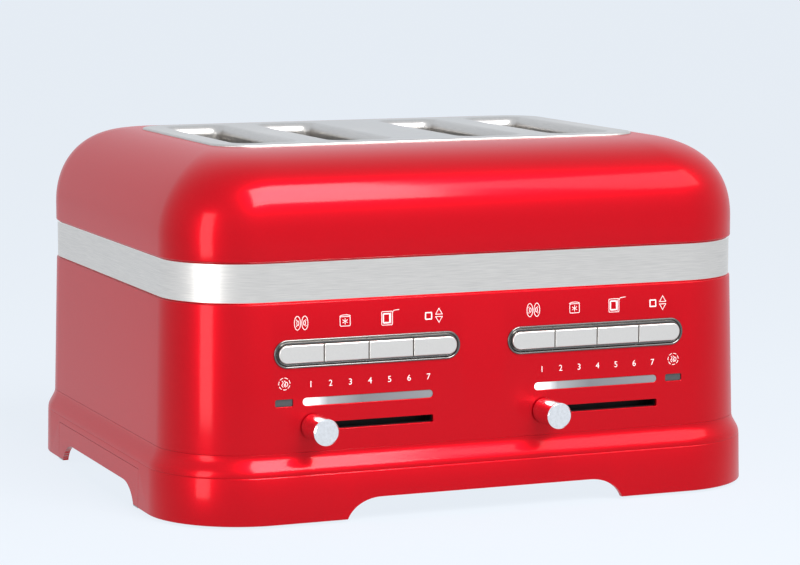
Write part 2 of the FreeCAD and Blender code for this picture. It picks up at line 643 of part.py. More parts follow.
def make_cover():
    def foot(wall, z):
        return section(f"{HALF_X} - {wall}", f"{HALF_Y} - {wall}", f"Dims.body_corner - {wall}", z)

    plate_x = "(Dims.plate_width / 2 + 2 * Dims.plate_gap)"
    plate_y = "(Dims.plate_depth / 2 + 2 * Dims.plate_gap)"
    plate_r = "(Dims.plate_corner + 2 * Dims.plate_gap)"
    outer = stack([foot("0", BAND_TOP)] + dome_levels("0", plate_x, plate_y, plate_r, DOME_TOP))
    hole_x = "(Dims.plate_width / 2 - Dims.plate_ledge)"
    hole_y = "(Dims.plate_depth / 2 - Dims.plate_ledge)"
    hole_r = "(Dims.plate_corner - Dims.plate_ledge)"
    inner_top = f"({DOME_TOP} - Dims.ledge_depth)"
    inner = stack([foot("Dims.shell_wall", f"{BAND_TOP} - 1")]
                  + dome_levels("Dims.shell_wall", hole_x, hole_y, hole_r, inner_top))
    opening = slab(hole_x, hole_y, hole_r, f"{inner_top} - 1", "Dims.ledge_depth + 2")
    seat = slab("Dims.plate_width / 2 + Dims.plate_gap", "Dims.plate_depth / 2 + Dims.plate_gap",
                "Dims.plate_corner + Dims.plate_gap", f"{PLATE_TOP} - Dims.plate_flange", "Dims.plate_flange + 2")
    keep(cut(outer, inner, opening, seat), "upper_cover")


def slot_centres(sign):
    return [f"({sign} * Dims.pair_centre + {side} * Dims.slot_offset)" for side in (-1, 1)]


def make_plate():
    body = doc.addObject("PartDesign::Body", "Plate")
    sheet = rounded(body_sketch(body, "XY_Plane"), "Dims.plate_width / 2", "Dims.plate_depth / 2",
                    "Dims.plate_corner")
    pad(body, sheet, "Dims.plate_flange", reverse=True)
    centres = [x for name, sign in SIDES for x in slot_centres(sign)]
    for x in centres:
        throat = rounded(body_sketch(body, "XY_Plane"), "Dims.slot_width / 2 + Dims.slot_rim",
                         "Dims.slot_length / 2 + Dims.slot_rim", "Dims.slot_corner + Dims.slot_rim")
        bind(throat, AttachmentOffset_Base_x=x)
        pad(body, throat, "Dims.throat_depth", reverse=True)
    for x in centres:
        mouth = rounded(body_sketch(body, "XY_Plane"), "Dims.slot_width / 2", "Dims.slot_length / 2",
                        "Dims.slot_corner")
        bind(mouth, AttachmentOffset_Base_x=x)
        pocket(body, mouth, "Dims.throat_depth + 1")
    edge_y = size("plate_depth") / 2 - 1
    edge_x = size("plate_width") / 2 - size("plate_corner") / 2

    def on_top(middle, edge):
        return abs(middle.z) < 0.001 and abs(edge.Vertexes[0].Z) < 0.001

    def at_rim(middle, edge):
        return on_top(middle, edge) and (abs(middle.x) > edge_x or abs(middle.y) > edge_y)

    def at_slot(middle, edge):
        return on_top(middle, edge) and not at_rim(middle, edge)

    round_edges(body, "Fillet", "Dims.slot_roll", at_slot)
    round_edges(body, "Fillet", "Dims.plate_proud", at_rim)
    keep(place(body, z=PLATE_TOP), "top_plate")


# ---- controls on the front ----

def make_bezels():
    for name, sign in SIDES:
        x = group_x(sign)
        seat = f"({face_at(BUTTON_Z)} - Dims.bezel_seat)"
        lip = wall_prism("Dims.bezel_width / 2", "Dims.bezel_height / 2", f"Dims.bezel_height / 2 - {LEAST}",
                         x, seat, BUTTON_Z, "Dims.bezel_seat + Dims.bezel_proud")
        neck_z = "(Dims.bezel_height / 2 - Dims.bezel_rim)"
        neck = wall_prism("Dims.bezel_width / 2 - Dims.bezel_rim", neck_z, f"{neck_z} - {LEAST}",
                          x, f"{seat} - Dims.bezel_neck", BUTTON_Z, "Dims.bezel_neck")
        mouth_x = "(2 * Dims.button_pitch - Dims.button_split / 2 + Dims.button_gap)"
        mouth_z = "(Dims.button_height / 2 + Dims.button_gap)"
        mouth = wall_prism(mouth_x, mouth_z, "Dims.button_end + Dims.button_gap", x,
                           f"{seat} - Dims.bezel_neck - 1", BUTTON_Z, "Dims.bezel_neck + 6")
        keep(cut(fuse(lip, neck), mouth), f"button_bezel_{name}")


def make_button(name, sign, place_in_row):
    """A button cap with a flange behind the bezel and a plunger to its switch, face at local Y = 0."""
    body = doc.addObject("PartDesign::Body", "Button")
    half = "(Dims.button_pitch - Dims.button_split) / 2"
    high = "Dims.button_height / 2"
    depth = "(Dims.button_proud + Dims.bezel_proud + Dims.bezel_seat + Dims.bezel_neck + Dims.button_gap)"

    def frame(half_x, half_z):
        return [(f"-({half_x})", f"-({half_z})"), (half_x, f"-({half_z})"), (half_x, half_z),
                (f"-({half_x})", half_z)]

    pad(body, polygon(body_sketch(body, "XZ_Plane", f"-{depth}"), frame(half, high)), depth)
    if place_in_row in (0, 3):
        outer = -1 if place_in_row == 0 else 1
        limit = (size("button_pitch") - size("button_split")) / 2 - 0.01
        round_edges(body, "Fillet", "Dims.button_end",
                    lambda middle, edge: outer * middle.x > limit and abs(edge.Vertexes[0].Y - edge.Vertexes[-1].Y) > 1)
    round_edges(body, "Fillet", "Dims.button_edge", lambda middle, edge: abs(middle.y) < 0.001)
    flange = f"({depth} + Dims.button_flange)"
    pad(body, polygon(body_sketch(body, "XZ_Plane", f"-{flange}"), frame(half, f"{high} + 1.2")),
        "Dims.button_flange")
    face = f"({face_at(BUTTON_Z)} + Dims.bezel_proud + Dims.button_proud)"
    reach = f"({face} - {BOARD_FRONT} - Dims.switch_depth - Dims.button_travel - Dims.button_gap)"
    pad(body, polygon(body_sketch(body, "XZ_Plane", f"-{reach}"), frame("2", "2")), f"{reach} - {flange}")
    x = f"{group_x(sign)} + {place_in_row - 1.5} * Dims.button_pitch"
    keep(place(body, x, f"-{face}", BUTTON_Z), name)


BUTTON_NAMES = ("bagel_button", "defrost_button", "sandwich_button", "lift_button")


def make_buttons():
    for side, sign in SIDES:
        for index, button in enumerate(BUTTON_NAMES):
            make_button(f"{button}_{side}", sign, index)


def make_lights():
    for name, sign in SIDES:
        for kind, sink, width, height, x in (
                ("light_bar", "Dims.light_sink", "Dims.light_width", "Dims.light_height", group_x(sign)),
                ("warm_lamp", "Dims.lamp_sink", "Dims.lamp_width", "Dims.lamp_height",
                 f"{sign} * (Dims.pair_centre + Dims.lamp_offset)")):
            half_z = f"({height} / 2 - Dims.fit_gap)"
            radius = f"{half_z} - {LEAST}" if kind == "light_bar" else "0.9"
            guide = wall_prism(f"{width} / 2 - Dims.fit_gap", half_z, radius, x, BOARD_FRONT, LIGHT_Z,
                               f"{face_at(LIGHT_Z)} - {sink} - {BOARD_FRONT}")
            keep(guide, f"{kind}_{name}")


def make_shade_controls():
    half_slot = "(Dims.light_width / 2)"
    front = f"({face_at(SHADE_Z)} - Dims.shell_wall - Dims.track_gap)"
    inner_half = "(Dims.track_half - 1.5)"
    for name, sign in SIDES:
        x = group_x(sign)
        case = span(f"{x} - {half_slot} - 5", f"{x} + {half_slot} + 5", f"-{front}", f"-{BOARD_FRONT}",
                    f"{SHADE_Z} - Dims.track_half", f"{SHADE_Z} + Dims.track_half")
        hollow = span(f"{x} - {half_slot} - 1.4", f"{x} + {half_slot} + 1.4", f"-{front} + Dims.track_sheet",
                      f"-{BOARD_FRONT} - 1.5", f"{SHADE_Z} - {inner_half}", f"{SHADE_Z} + {inner_half}")
        mouth = span(f"{x} - {half_slot}", f"{x} + {half_slot}", f"-{front} - 1", f"-{front} + Dims.track_sheet + 1",
                     f"{SHADE_Z} - Dims.shade_slot / 2", f"{SHADE_Z} + Dims.shade_slot / 2")
        keep(cut(case, hollow, mouth), f"shade_track_{name}")

        knob_x = f"({x} - Dims.shade_travel / 2)"
        gap = "0.3"
        shoe = span(f"{knob_x} - Dims.shoe_half", f"{knob_x} + Dims.shoe_half",
                    f"-{front} + Dims.track_sheet + {gap}", f"-{BOARD_FRONT} - 1.5 - {gap}",
                    f"{SHADE_Z} - {inner_half} + {gap}", f"{SHADE_Z} + {inner_half} - {gap}")
        stem = span(f"{knob_x} - Dims.stem_width / 2", f"{knob_x} + Dims.stem_width / 2",
                    f"-({face_at(SHADE_Z)} + Dims.stem_reach)", f"-{front} + Dims.track_sheet + 1",
                    f"{SHADE_Z} - Dims.stem_height / 2", f"{SHADE_Z} + Dims.stem_height / 2")
        keep(fuse(shoe, stem), f"shade_slider_{name}")

        body = doc.addObject("PartDesign::Body", "Knob")
        pad(body, circle(body_sketch(body, "XZ_Plane"), "Dims.knob_radius"), "Dims.knob_length")
        bore = rounded(body_sketch(body, "XZ_Plane"), "Dims.stem_width / 2 + Dims.bush_gap",
                       "Dims.stem_height / 2 + Dims.bush_gap", "0.04")
        before = body.Shape.Volume
        socket = body.newObject("PartDesign::Pocket", "Socket")
        socket.Profile = bore
        socket.Reversed = True
        bind(socket, Length="Dims.stem_reach - Dims.knob_gap + Dims.bush_gap")
        doc.recompute()
        if body.Shape.Volume >= before - 1:
            raise RuntimeError("the knob's socket cuts nothing")
        tip = -size("knob_length")
        round_edges(body, "Chamfer", "Dims.knob_edge", lambda middle, edge: abs(middle.y - tip) < 0.001)
        keep(place(body, knob_x, f"-({face_at(SHADE_Z)} + Dims.knob_gap)", SHADE_Z), f"shade_knob_{name}")


def make_boards():
    reach = "(Dims.pair_centre + Dims.boss_spread + 6)"
    keep(span(f"-{reach}", reach, f"-{BOARD_FRONT}", f"-{BOARD_FRONT} + Dims.board_sheet",
              f"{SHADE_Z} - 6", f"{BUTTON_Z} + Dims.bezel_height / 2 + 2 * Dims.boss_radius + 2"), "control_board")
    switches = []
    for name, sign in SIDES:
        for index in range(4):
            x = f"({group_x(sign)} + {index - 1.5} * Dims.button_pitch)"
            switches.append(span(f"{x} - 3", f"{x} + 3", f"-{BOARD_FRONT} - Dims.switch_depth", f"-{BOARD_FRONT}",
                                 f"{BUTTON_Z} - 3", f"{BUTTON_Z} + 3"))
    keep(group(*switches), "button_switches")

    board = span("-70", "70", "Dims.power_setback", "Dims.power_setback + Dims.board_sheet", "40", "112")
    posts = [rod("3", f"Dims.power_setback - {OVEN_FACE}", x, OVEN_FACE, z, "Y")
             for x in ("-64", "64") for z in ("46", "106")]
    back = "Dims.power_setback + Dims.board_sheet"
    parts = [span("-55", "-20", back, f"{back} + 28", "60", "95"), rod("8", "20", "0", back, "90", "Y")]
    for x in ("14", "36"):
        parts.append(span(x, f"{x} + 18", back, f"{back} + 16", "56", "84"))
    keep(group(board, *posts, *parts), "power_board")


def make_inlet():
    back = f"({face_at(INLET_Z)} + Dims.inlet_seat)"
    end = f"({face_at(SHADE_Z)} + Dims.knob_gap + Dims.knob_length)"
    flange = rod("Dims.inlet_flange", "Dims.inlet_flange_depth", "-Dims.inlet_offset", back, INLET_Z, "Y")
    boot = doc.addObject("Part::Cone", "Boot")
    bind(boot, Radius1="Dims.boot_root", Radius2="Dims.boot_tip", Height=f"{end} - {back}")
    boot.Placement = FreeCAD.Placement(Vector(), Rotation(Vector(1, 0, 0), -90))
    place(boot, "-Dims.inlet_offset", back, INLET_Z)
    neck = rod("Dims.inlet_neck", "Dims.inlet_depth + 0.5", "-Dims.inlet_offset", f"{back} - Dims.inlet_depth",
               INLET_Z, "Y")
    bore = rod("Dims.inlet_bore", f"{end} - {back} + Dims.inlet_depth + 4", "-Dims.inlet_offset",
               f"{back} - Dims.inlet_depth - 2", INLET_Z, "Y")
    keep(cut(fuse(flange, neck, boot), bore), "cord_inlet")


# ---- oven, heaters and bread guides ----

def guide_places(sign, way):
    """Centres of the guides of one side that close by moving along +X (way 1) or -X (way -1)."""
    return [f"({x} - {way} * Dims.guide_rest)" for x in slot_centres(sign)]


def make_oven():
    for name, sign_y in (("front", -1), ("rear", 1)):
        face = "Dims.oven_half" if sign_y > 0 else f"-{OVEN_FACE}"
        reach = f"({OVEN_SIDE} + 3)"
        plate = box(f"-{reach}", face, PAN_TOP, f"2 * {reach}", "Dims.oven_sheet", f"{OVEN_TOP} - {PAN_TOP}")
        flange_y = f"{OVEN_FACE} - 11" if sign_y > 0 else f"-{OVEN_FACE}"
        flange = box(f"-{reach}", flange_y, PAN_TOP, f"2 * {reach}", "11", "Dims.oven_sheet")
        holes = [rod("Dims.screw_hole", "Dims.oven_sheet + 2", x, y, f"{PAN_TOP} - 1")
                 for x, y in screw_places() if y.startswith(f"{sign_y} ")]
        for side, sign in SIDES:
            for way in (-1, 1):
                for x in guide_places(sign, way):
                    start = f"{x} - Dims.guide_bar / 2 - Dims.guide_gap"
                    if way < 0:
                        start = f"{start} - Dims.guide_travel"
                    for z in ("Dims.guide_low", "Dims.guide_high"):
                        holes.append(box(start, f"{face} - 1", f"{z} - Dims.guide_bar / 2 - Dims.guide_gap",
                                         "Dims.guide_bar + 2 * Dims.guide_gap + Dims.guide_travel",
                                         "Dims.oven_sheet + 2", "Dims.guide_bar + 2 * Dims.guide_gap"))
            if sign_y < 0:
                for x in slot_centres(sign):
                    holes.append(span(f"{x} - Dims.rack_slot / 2", f"{x} + Dims.rack_slot / 2", f"{face} - 1",
                                      f"{face} + Dims.oven_sheet + 1", "Dims.lift_rest - Dims.lift_travel - 3",
                                      "Dims.lift_rest + Dims.rack_height + 3"))
        keep(cut(fuse(plate, flange), *holes), f"oven_plate_{name}")
    for name, sign in SIDES:
        x = OVEN_SIDE if sign > 0 else f"-{OVEN_SIDE} - Dims.reflector_sheet"
        keep(box(x, "-Dims.oven_half", "Dims.reflector_bottom", "Dims.reflector_sheet", "2 * Dims.oven_half",
                 f"{OVEN_TOP} - Dims.reflector_bottom"), f"side_reflector_{name}")
    keep(box("-Dims.reflector_sheet / 2", "-Dims.oven_half", "Dims.reflector_bottom", "Dims.reflector_sheet",
             "2 * Dims.oven_half", f"{OVEN_TOP} - Dims.reflector_bottom"), "centre_partition")


def make_heaters():
    for name, sign in SIDES:
        cards = []
        ribbons = []
        for x in [f"({sign} * Dims.pair_centre + {shift} * (Dims.slot_offset + Dims.card_clear))" for shift in (-1, 0, 1)]:
            cards.append(span(f"{x} - Dims.card_thickness / 2", f"{x} + Dims.card_thickness / 2",
                              "-Dims.oven_half", "Dims.oven_half", "Dims.card_low", "Dims.card_high"))
            for row in range(RIBBON_ROWS):
                share = (row + 0.5) / RIBBON_ROWS
                z = f"(Dims.card_low + (Dims.card_high - Dims.card_low) * {share})"
                for start in (f"{x} + Dims.card_thickness / 2",
                              f"{x} - Dims.card_thickness / 2 - Dims.ribbon_thickness"):
                    ribbons.append(box(start, "-Dims.ribbon_half", f"{z} - Dims.ribbon_height / 2",
                                       "Dims.ribbon_thickness", "2 * Dims.ribbon_half", "Dims.ribbon_height"))
        keep(group(*cards), f"heater_cards_{name}")
        keep(group(*ribbons), f"heater_ribbons_{name}")


def make_guides():
    """A guide is a flat cage of upright wires between two cross bars that ride in the oven plates."""
    reach = f"({OVEN_FACE} + 1.5)"
    bars = [span("-Dims.guide_bar / 2", "Dims.guide_bar / 2", f"-{reach}", reach, f"{z} - Dims.guide_bar / 2",
                 f"{z} + Dims.guide_bar / 2") for z in ("Dims.guide_low", "Dims.guide_high")]
    wires = [rod("Dims.guide_wire", "Dims.guide_high - Dims.guide_low", "0", f"{step} * Dims.guide_pitch",
                 "Dims.guide_low") for step in range(-4, 5)]
    cage = fuse(*bars, *wires)
    for name, sign in SIDES:
        for label, way in (("a", 1), ("b", -1)):
            keep(group(*[copy_at(cage, x) for x in guide_places(sign, way)]), f"bread_guides_{name}_{label}")


# ---- bread lift ----

def gear_tooth(sketch, root, tip):
    """A straight-sided tooth across the X axis, from the root to the tip distance."""
    wide = "Dims.gear_module * 1.05"
    narrow = "Dims.gear_module * 0.42"
    return polygon(sketch, [(root, f"-({wide})"), (tip, f"-({narrow})"), (tip, narrow), (root, wide)])


def make_pinion(name, x):
    """A pinion and its shaft about the local Y axis; the gear is centred on local Y = 0."""
    body = doc.addObject("PartDesign::Body", "Pinion")
    root = f"({PITCH_RADIUS} - 1.2 * Dims.gear_module)"
    back = "-Dims.gear_width / 2"
    disc_sketch = circle(body_sketch(body, "XZ_Plane", back), root)
    pad(body, disc_sketch, "Dims.gear_width")
    tooth = pad(body, gear_tooth(body_sketch(body, "XZ_Plane", back), f"{root} - 0.4",
                                 f"{PITCH_RADIUS} + 0.8 * Dims.gear_module"), "Dims.gear_width")
    pattern = body.newObject("PartDesign::PolarPattern", "Teeth")
    pattern.Originals = [tooth]
    pattern.Axis = (disc_sketch, ["N_Axis"])
    pattern.Angle = 360
    bind(pattern, Occurrences="Dims.gear_teeth")
    body.Tip = pattern
    doc.recompute()
    shaft_back = "-Dims.gear_width / 2 - 2"
    front = f"(Dims.bracket_setback + Dims.bracket_sheet + 6 - Dims.gear_setback)"
    pad(body, circle(body_sketch(body, "XZ_Plane", shaft_back), "Dims.shaft_radius"),
        f"{front} + Dims.gear_width / 2 + 2")
    keep(place(body, x, "-Dims.gear_setback", "Dims.pinion_height"), name)


def make_rack(x):
    """The toothed bar of a lift carriage; a gap between two teeth faces the pinion at rest."""
    body = doc.addObject("PartDesign::Body", "ToothedBar")
    root = "(Dims.rack_line - 1.2 * Dims.gear_module)"
    back = "-Dims.gear_width / 2"
    pitch = "(Dims.gear_module * pi)"
    low = f"-2.5 * {pitch}"
    high = f"(Dims.lift_travel + 2.5 * {pitch})"
    bar = polygon(body_sketch(body, "XZ_Plane", back),
                  [("Dims.block_half", low), (root, low), (root, high), ("Dims.block_half", high)])
    pad(body, bar, "Dims.gear_width")
    wide = "Dims.gear_module * 1.0"
    narrow = "Dims.gear_module * 0.4"
    tip = "(Dims.rack_line + 0.8 * Dims.gear_module)"
    first = f"(-1.5 * {pitch})"
    tooth_sketch = polygon(body_sketch(body, "XZ_Plane", back),
                           [(f"{root} - 0.2", f"{first} - {wide}"), (tip, f"{first} - {narrow}"),
                            (tip, f"{first} + {narrow}"), (f"{root} - 0.2", f"{first} + {wide}")])
    tooth = pad(body, tooth_sketch, "Dims.gear_width")
    pattern = body.newObject("PartDesign::LinearPattern", "Teeth")
    pattern.Originals = [tooth]
    pattern.Direction = (tooth_sketch, ["V_Axis"])
    pattern.Mode = "Spacing"
    bind(pattern, Offset=pitch, Occurrences=f"floor(Dims.lift_travel / {pitch}) + 4")
    body.Tip = pattern
    doc.recompute()
    return place(body, x, "-Dims.gear_setback", "Dims.pinion_height")


def make_lift():
    rods = []
    holders = []
    brackets = []
    for name, sign in SIDES:
        x = group_x(sign)
        rods.append(rod("Dims.rod_radius", f"Dims.rod_top - {PAN_TOP}", x, "-Dims.rod_setback", PAN_TOP))
        holder_z = "(Dims.rod_top - 7)"
        holder = fuse(span(f"{x} - 8", f"{x} + 8", "-Dims.rod_setback - 7", f"-{OVEN_FACE}", holder_z,
                           f"{holder_z} + 2"),
                      span(f"{x} - 8", f"{x} + 8", f"-{OVEN_FACE} - 2", f"-{OVEN_FACE}", f"{holder_z} - 8", holder_z))
        holders.append(cut(holder, rod("Dims.rod_radius + Dims.bush_gap", "4", x, "-Dims.rod_setback",
                                       f"{holder_z} - 1")))

        block = span(f"{x} - Dims.block_half", f"{x} + Dims.block_half", "-Dims.rod_setback - 7",
                     "-Dims.rack_front", "Dims.lift_rest", "Dims.lift_rest + Dims.block_height")
        bar_reach = "(Dims.slot_offset + 4)"
        crossbar = span(f"{x} - {bar_reach}", f"{x} + {bar_reach}", "-Dims.rack_front - 3.5", "-Dims.rack_front",
                        "Dims.lift_rest", "Dims.lift_rest + 8")
        bush = rod("Dims.rod_radius + Dims.bush_gap", "Dims.block_height + 2", x, "-Dims.rod_setback",
                   "Dims.lift_rest - 1")
        keep(fuse(cut(fuse(block, crossbar), bush), make_rack(x)), f"lift_carriage_{name}")

        blades = []
        for centre in slot_centres(sign):
            blade = span(f"{centre} - Dims.rack_blade / 2", f"{centre} + Dims.rack_blade / 2", "-Dims.rack_front",
                         "Dims.rack_back", "Dims.lift_rest", "Dims.lift_rest + Dims.rack_height")
            top = "(Dims.lift_rest + Dims.rack_height)"
            tabs = [span(f"{centre} - Dims.rack_tab / 2", f"{centre} + Dims.rack_tab / 2", f"{y} - 1.5",
                         f"{y} + 1.5", f"{top} - 1.5", top) for y in range(-60, 61, 24)]
            blades.append(fuse(blade, *tabs))
        keep(group(*blades), f"bread_racks_{name}")

        pinion_x = f"({x} + Dims.rack_line + {PITCH_RADIUS})"
        make_pinion(f"lift_pinion_{name}", pinion_x)
        front = "(Dims.bracket_setback + Dims.bracket_sheet)"
        axis_z = "Dims.pinion_height"
        gearbox = span(f"{pinion_x} - Dims.gearbox_half", f"{pinion_x} + Dims.gearbox_half",
                       f"-{front} - Dims.gearbox_depth", f"-{front}", f"{axis_z} - Dims.gearbox_half",
                       f"{axis_z} + Dims.gearbox_half")
        motor = rod("Dims.motor_radius", "Dims.motor_length + 1", pinion_x, f"-{front} - Dims.gearbox_depth / 2",
                    f"{axis_z} + Dims.gearbox_half - 1")
        shaft_hole = rod("Dims.shaft_radius + Dims.bush_gap", "7.5", pinion_x, f"-{front} - 6.5", axis_z, "Y")
        keep(cut(fuse(gearbox, motor), shaft_hole), f"lift_motor_{name}")
        upright = span(f"{pinion_x} - Dims.gearbox_half", f"{pinion_x} + Dims.gearbox_half", f"-{front}",
                       "-Dims.bracket_setback", PAN_TOP, f"{axis_z} + Dims.gearbox_half")
        foot = span(f"{pinion_x} - Dims.gearbox_half", f"{pinion_x} + Dims.gearbox_half", f"-{front}",
                    "-Dims.bracket_setback + 12", PAN_TOP, f"{PAN_TOP} + Dims.bracket_sheet")
        eye = rod("Dims.shaft_radius + 1.5", "Dims.bracket_sheet + 2", pinion_x, f"-{front} - 1", axis_z, "Y")
        brackets.append(cut(fuse(upright, foot), eye))
    keep(group(*rods), "lift_guide_rods")
    keep(group(*holders), "rod_holders")
    keep(group(*brackets), "motor_brackets")


def check_and_export():
    """Refuses a failed object or a bad shape, then writes one STEP file for each node."""
    doc.recompute()
    failed = [item.Label for item in doc.Objects if "Invalid" in item.State or "Error" in item.State]
    if failed:
        raise RuntimeError(f"these objects did not build: {failed}")
    for node in nodes:
        if node.Shape.isNull() or not node.Shape.isValid():
            raise RuntimeError(f"{node.Label} has a bad shape")
    os.makedirs("parts", exist_ok=True)
    for node in nodes:
        node.Shape.exportStep(f"parts/{node.Label}.step")
        print(node.Label, len(node.Shape.Solids), round(node.Shape.Volume, 1))


make_trays(make_plinth())
make_pan()
make_housing()
make_band()
make_cover()
make_plate()
make_bezels()
make_buttons()
make_lights()
make_shade_controls()
make_boards()
make_inlet()
make_oven()
make_heaters()
make_guides()
make_lift()
check_and_export()
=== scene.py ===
import math
import bmesh
import bpy
import numpy as np
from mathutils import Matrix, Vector


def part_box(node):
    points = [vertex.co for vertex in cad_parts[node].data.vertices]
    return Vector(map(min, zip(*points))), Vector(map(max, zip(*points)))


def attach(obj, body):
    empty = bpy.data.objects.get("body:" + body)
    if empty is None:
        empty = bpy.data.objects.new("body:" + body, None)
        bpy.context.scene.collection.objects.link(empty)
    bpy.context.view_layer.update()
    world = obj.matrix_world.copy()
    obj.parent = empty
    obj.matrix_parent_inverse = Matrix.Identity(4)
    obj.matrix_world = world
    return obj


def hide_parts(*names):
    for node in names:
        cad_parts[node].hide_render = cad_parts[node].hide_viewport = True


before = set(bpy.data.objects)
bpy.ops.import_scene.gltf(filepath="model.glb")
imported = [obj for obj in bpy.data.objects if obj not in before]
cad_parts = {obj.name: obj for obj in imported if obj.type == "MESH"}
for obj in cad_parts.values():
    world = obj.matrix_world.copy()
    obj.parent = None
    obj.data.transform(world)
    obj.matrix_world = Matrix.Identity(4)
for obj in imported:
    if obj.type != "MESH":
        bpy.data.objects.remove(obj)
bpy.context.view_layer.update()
print("stage: frame loaded,", len(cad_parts), "nodes")

mm = 0.001


def boxOf(node):
    low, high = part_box(node)
    return np.array(low), np.array(high)


coverLow, coverHigh = boxOf("upper_cover")
housingLow, housingHigh = boxOf("lower_housing")
bandLow, bandHigh = boxOf("trim_band")
baseLow, baseHigh = boxOf("base_plinth")
plateHigh = boxOf("top_plate")[1]

# The toaster's outline in plan: half sizes and corner radius where the trim band sits.
plan = {"halfX": coverHigh[0], "halfY": coverHigh[1], "corner": 50 * mm, "wall": 2.5 * mm}
draft = housingHigh[0] - plan["halfX"]
housingHeight = housingHigh[2] - housingLow[2]


def frontAt(z):
    # Y of the drafted front wall at a height: straight from the band down to the plinth.
    return -(plan["halfY"] + draft * (housingHigh[2] - z) / housingHeight)


def newMaterial(name):
    made = bpy.data.materials.new(name)
    made.use_nodes = True
    nodes = made.node_tree.nodes
    links = made.node_tree.links
    shader = nodes["Principled BSDF"]
    place = nodes.new("ShaderNodeTexCoord")
    return made, nodes, links, shader, place.outputs["Object"]


def noiseOn(nodes, links, place, scale, stretch=(1, 1, 1), detail=3.0, rough=0.5):
    # Noise on the piece's own coordinates, in waves per metre, stretched along each axis.
    mapping = nodes.new("ShaderNodeMapping")
    mapping.inputs["Scale"].default_value = stretch
    links.new(place, mapping.inputs["Vector"])
    noise = nodes.new("ShaderNodeTexNoise")
    noise.inputs["Scale"].default_value = scale
    noise.inputs["Detail"].default_value = detail
    noise.inputs["Roughness"].default_value = rough
    links.new(mapping.outputs["Vector"], noise.inputs["Vector"])
    return noise.outputs["Fac"]


def rampOn(nodes, links, value, stops):
    ramp = nodes.new("ShaderNodeValToRGB")
    while len(ramp.color_ramp.elements) < len(stops):
        ramp.color_ramp.elements.new(0.5)
    for element, (position, color) in zip(ramp.color_ramp.elements, stops):
        element.position = position
        element.color = color
    links.new(value, ramp.inputs["Fac"])
    return ramp.outputs["Color"]


def rangeOn(nodes, links, value, low, high):
    spread = nodes.new("ShaderNodeMapRange")
    spread.inputs["To Min"].default_value = low
    spread.inputs["To Max"].default_value = high
    links.new(value, spread.inputs["Value"])
    return spread.outputs["Result"]


def bumpOn(nodes, links, value, strength, distance):
    bump = nodes.new("ShaderNodeBump")
    bump.inputs["Strength"].default_value = strength
    bump.inputs["Distance"].default_value = distance
    links.new(value, bump.inputs["Height"])
    return bump.outputs["Normal"]


def shade(color, factor):
    return tuple(min(1.0, c * factor) for c in color[:3]) + (1.0,)


def finish(name, look):
    # One finish from a dictionary: colour, metal, roughness range, grain scale and stretch, bump and coat.
    made, nodes, links, shader, place = newMaterial(name)
    grain = noiseOn(nodes, links, place, look["scale"], look.get("stretch", (1, 1, 1)), look.get("detail", 3.0))
    vary = look.get("vary", 0.06)
    color = rampOn(nodes, links, grain, [(0.3, shade(look["color"], 1 - vary)), (0.7, shade(look["color"], 1 + vary))])
    links.new(color, shader.inputs["Base Color"])
    shader.inputs["Metallic"].default_value = look.get("metal", 0.0)
    low, high = look["rough"]
    links.new(rangeOn(nodes, links, grain, low, high), shader.inputs["Roughness"])
    if "bump" in look:
        strength, distance = look["bump"]
        links.new(bumpOn(nodes, links, grain, strength, distance), shader.inputs["Normal"])
    shader.inputs["Coat Weight"].default_value = look.get("coat", 0.0)
    shader.inputs["Coat Roughness"].default_value = look.get("coatRough", 0.05)
    shader.inputs["Specular IOR Level"].default_value = look.get("specular", 0.5)
    shader.inputs["Anisotropic"].default_value = look.get("aniso", 0.0)
    return made


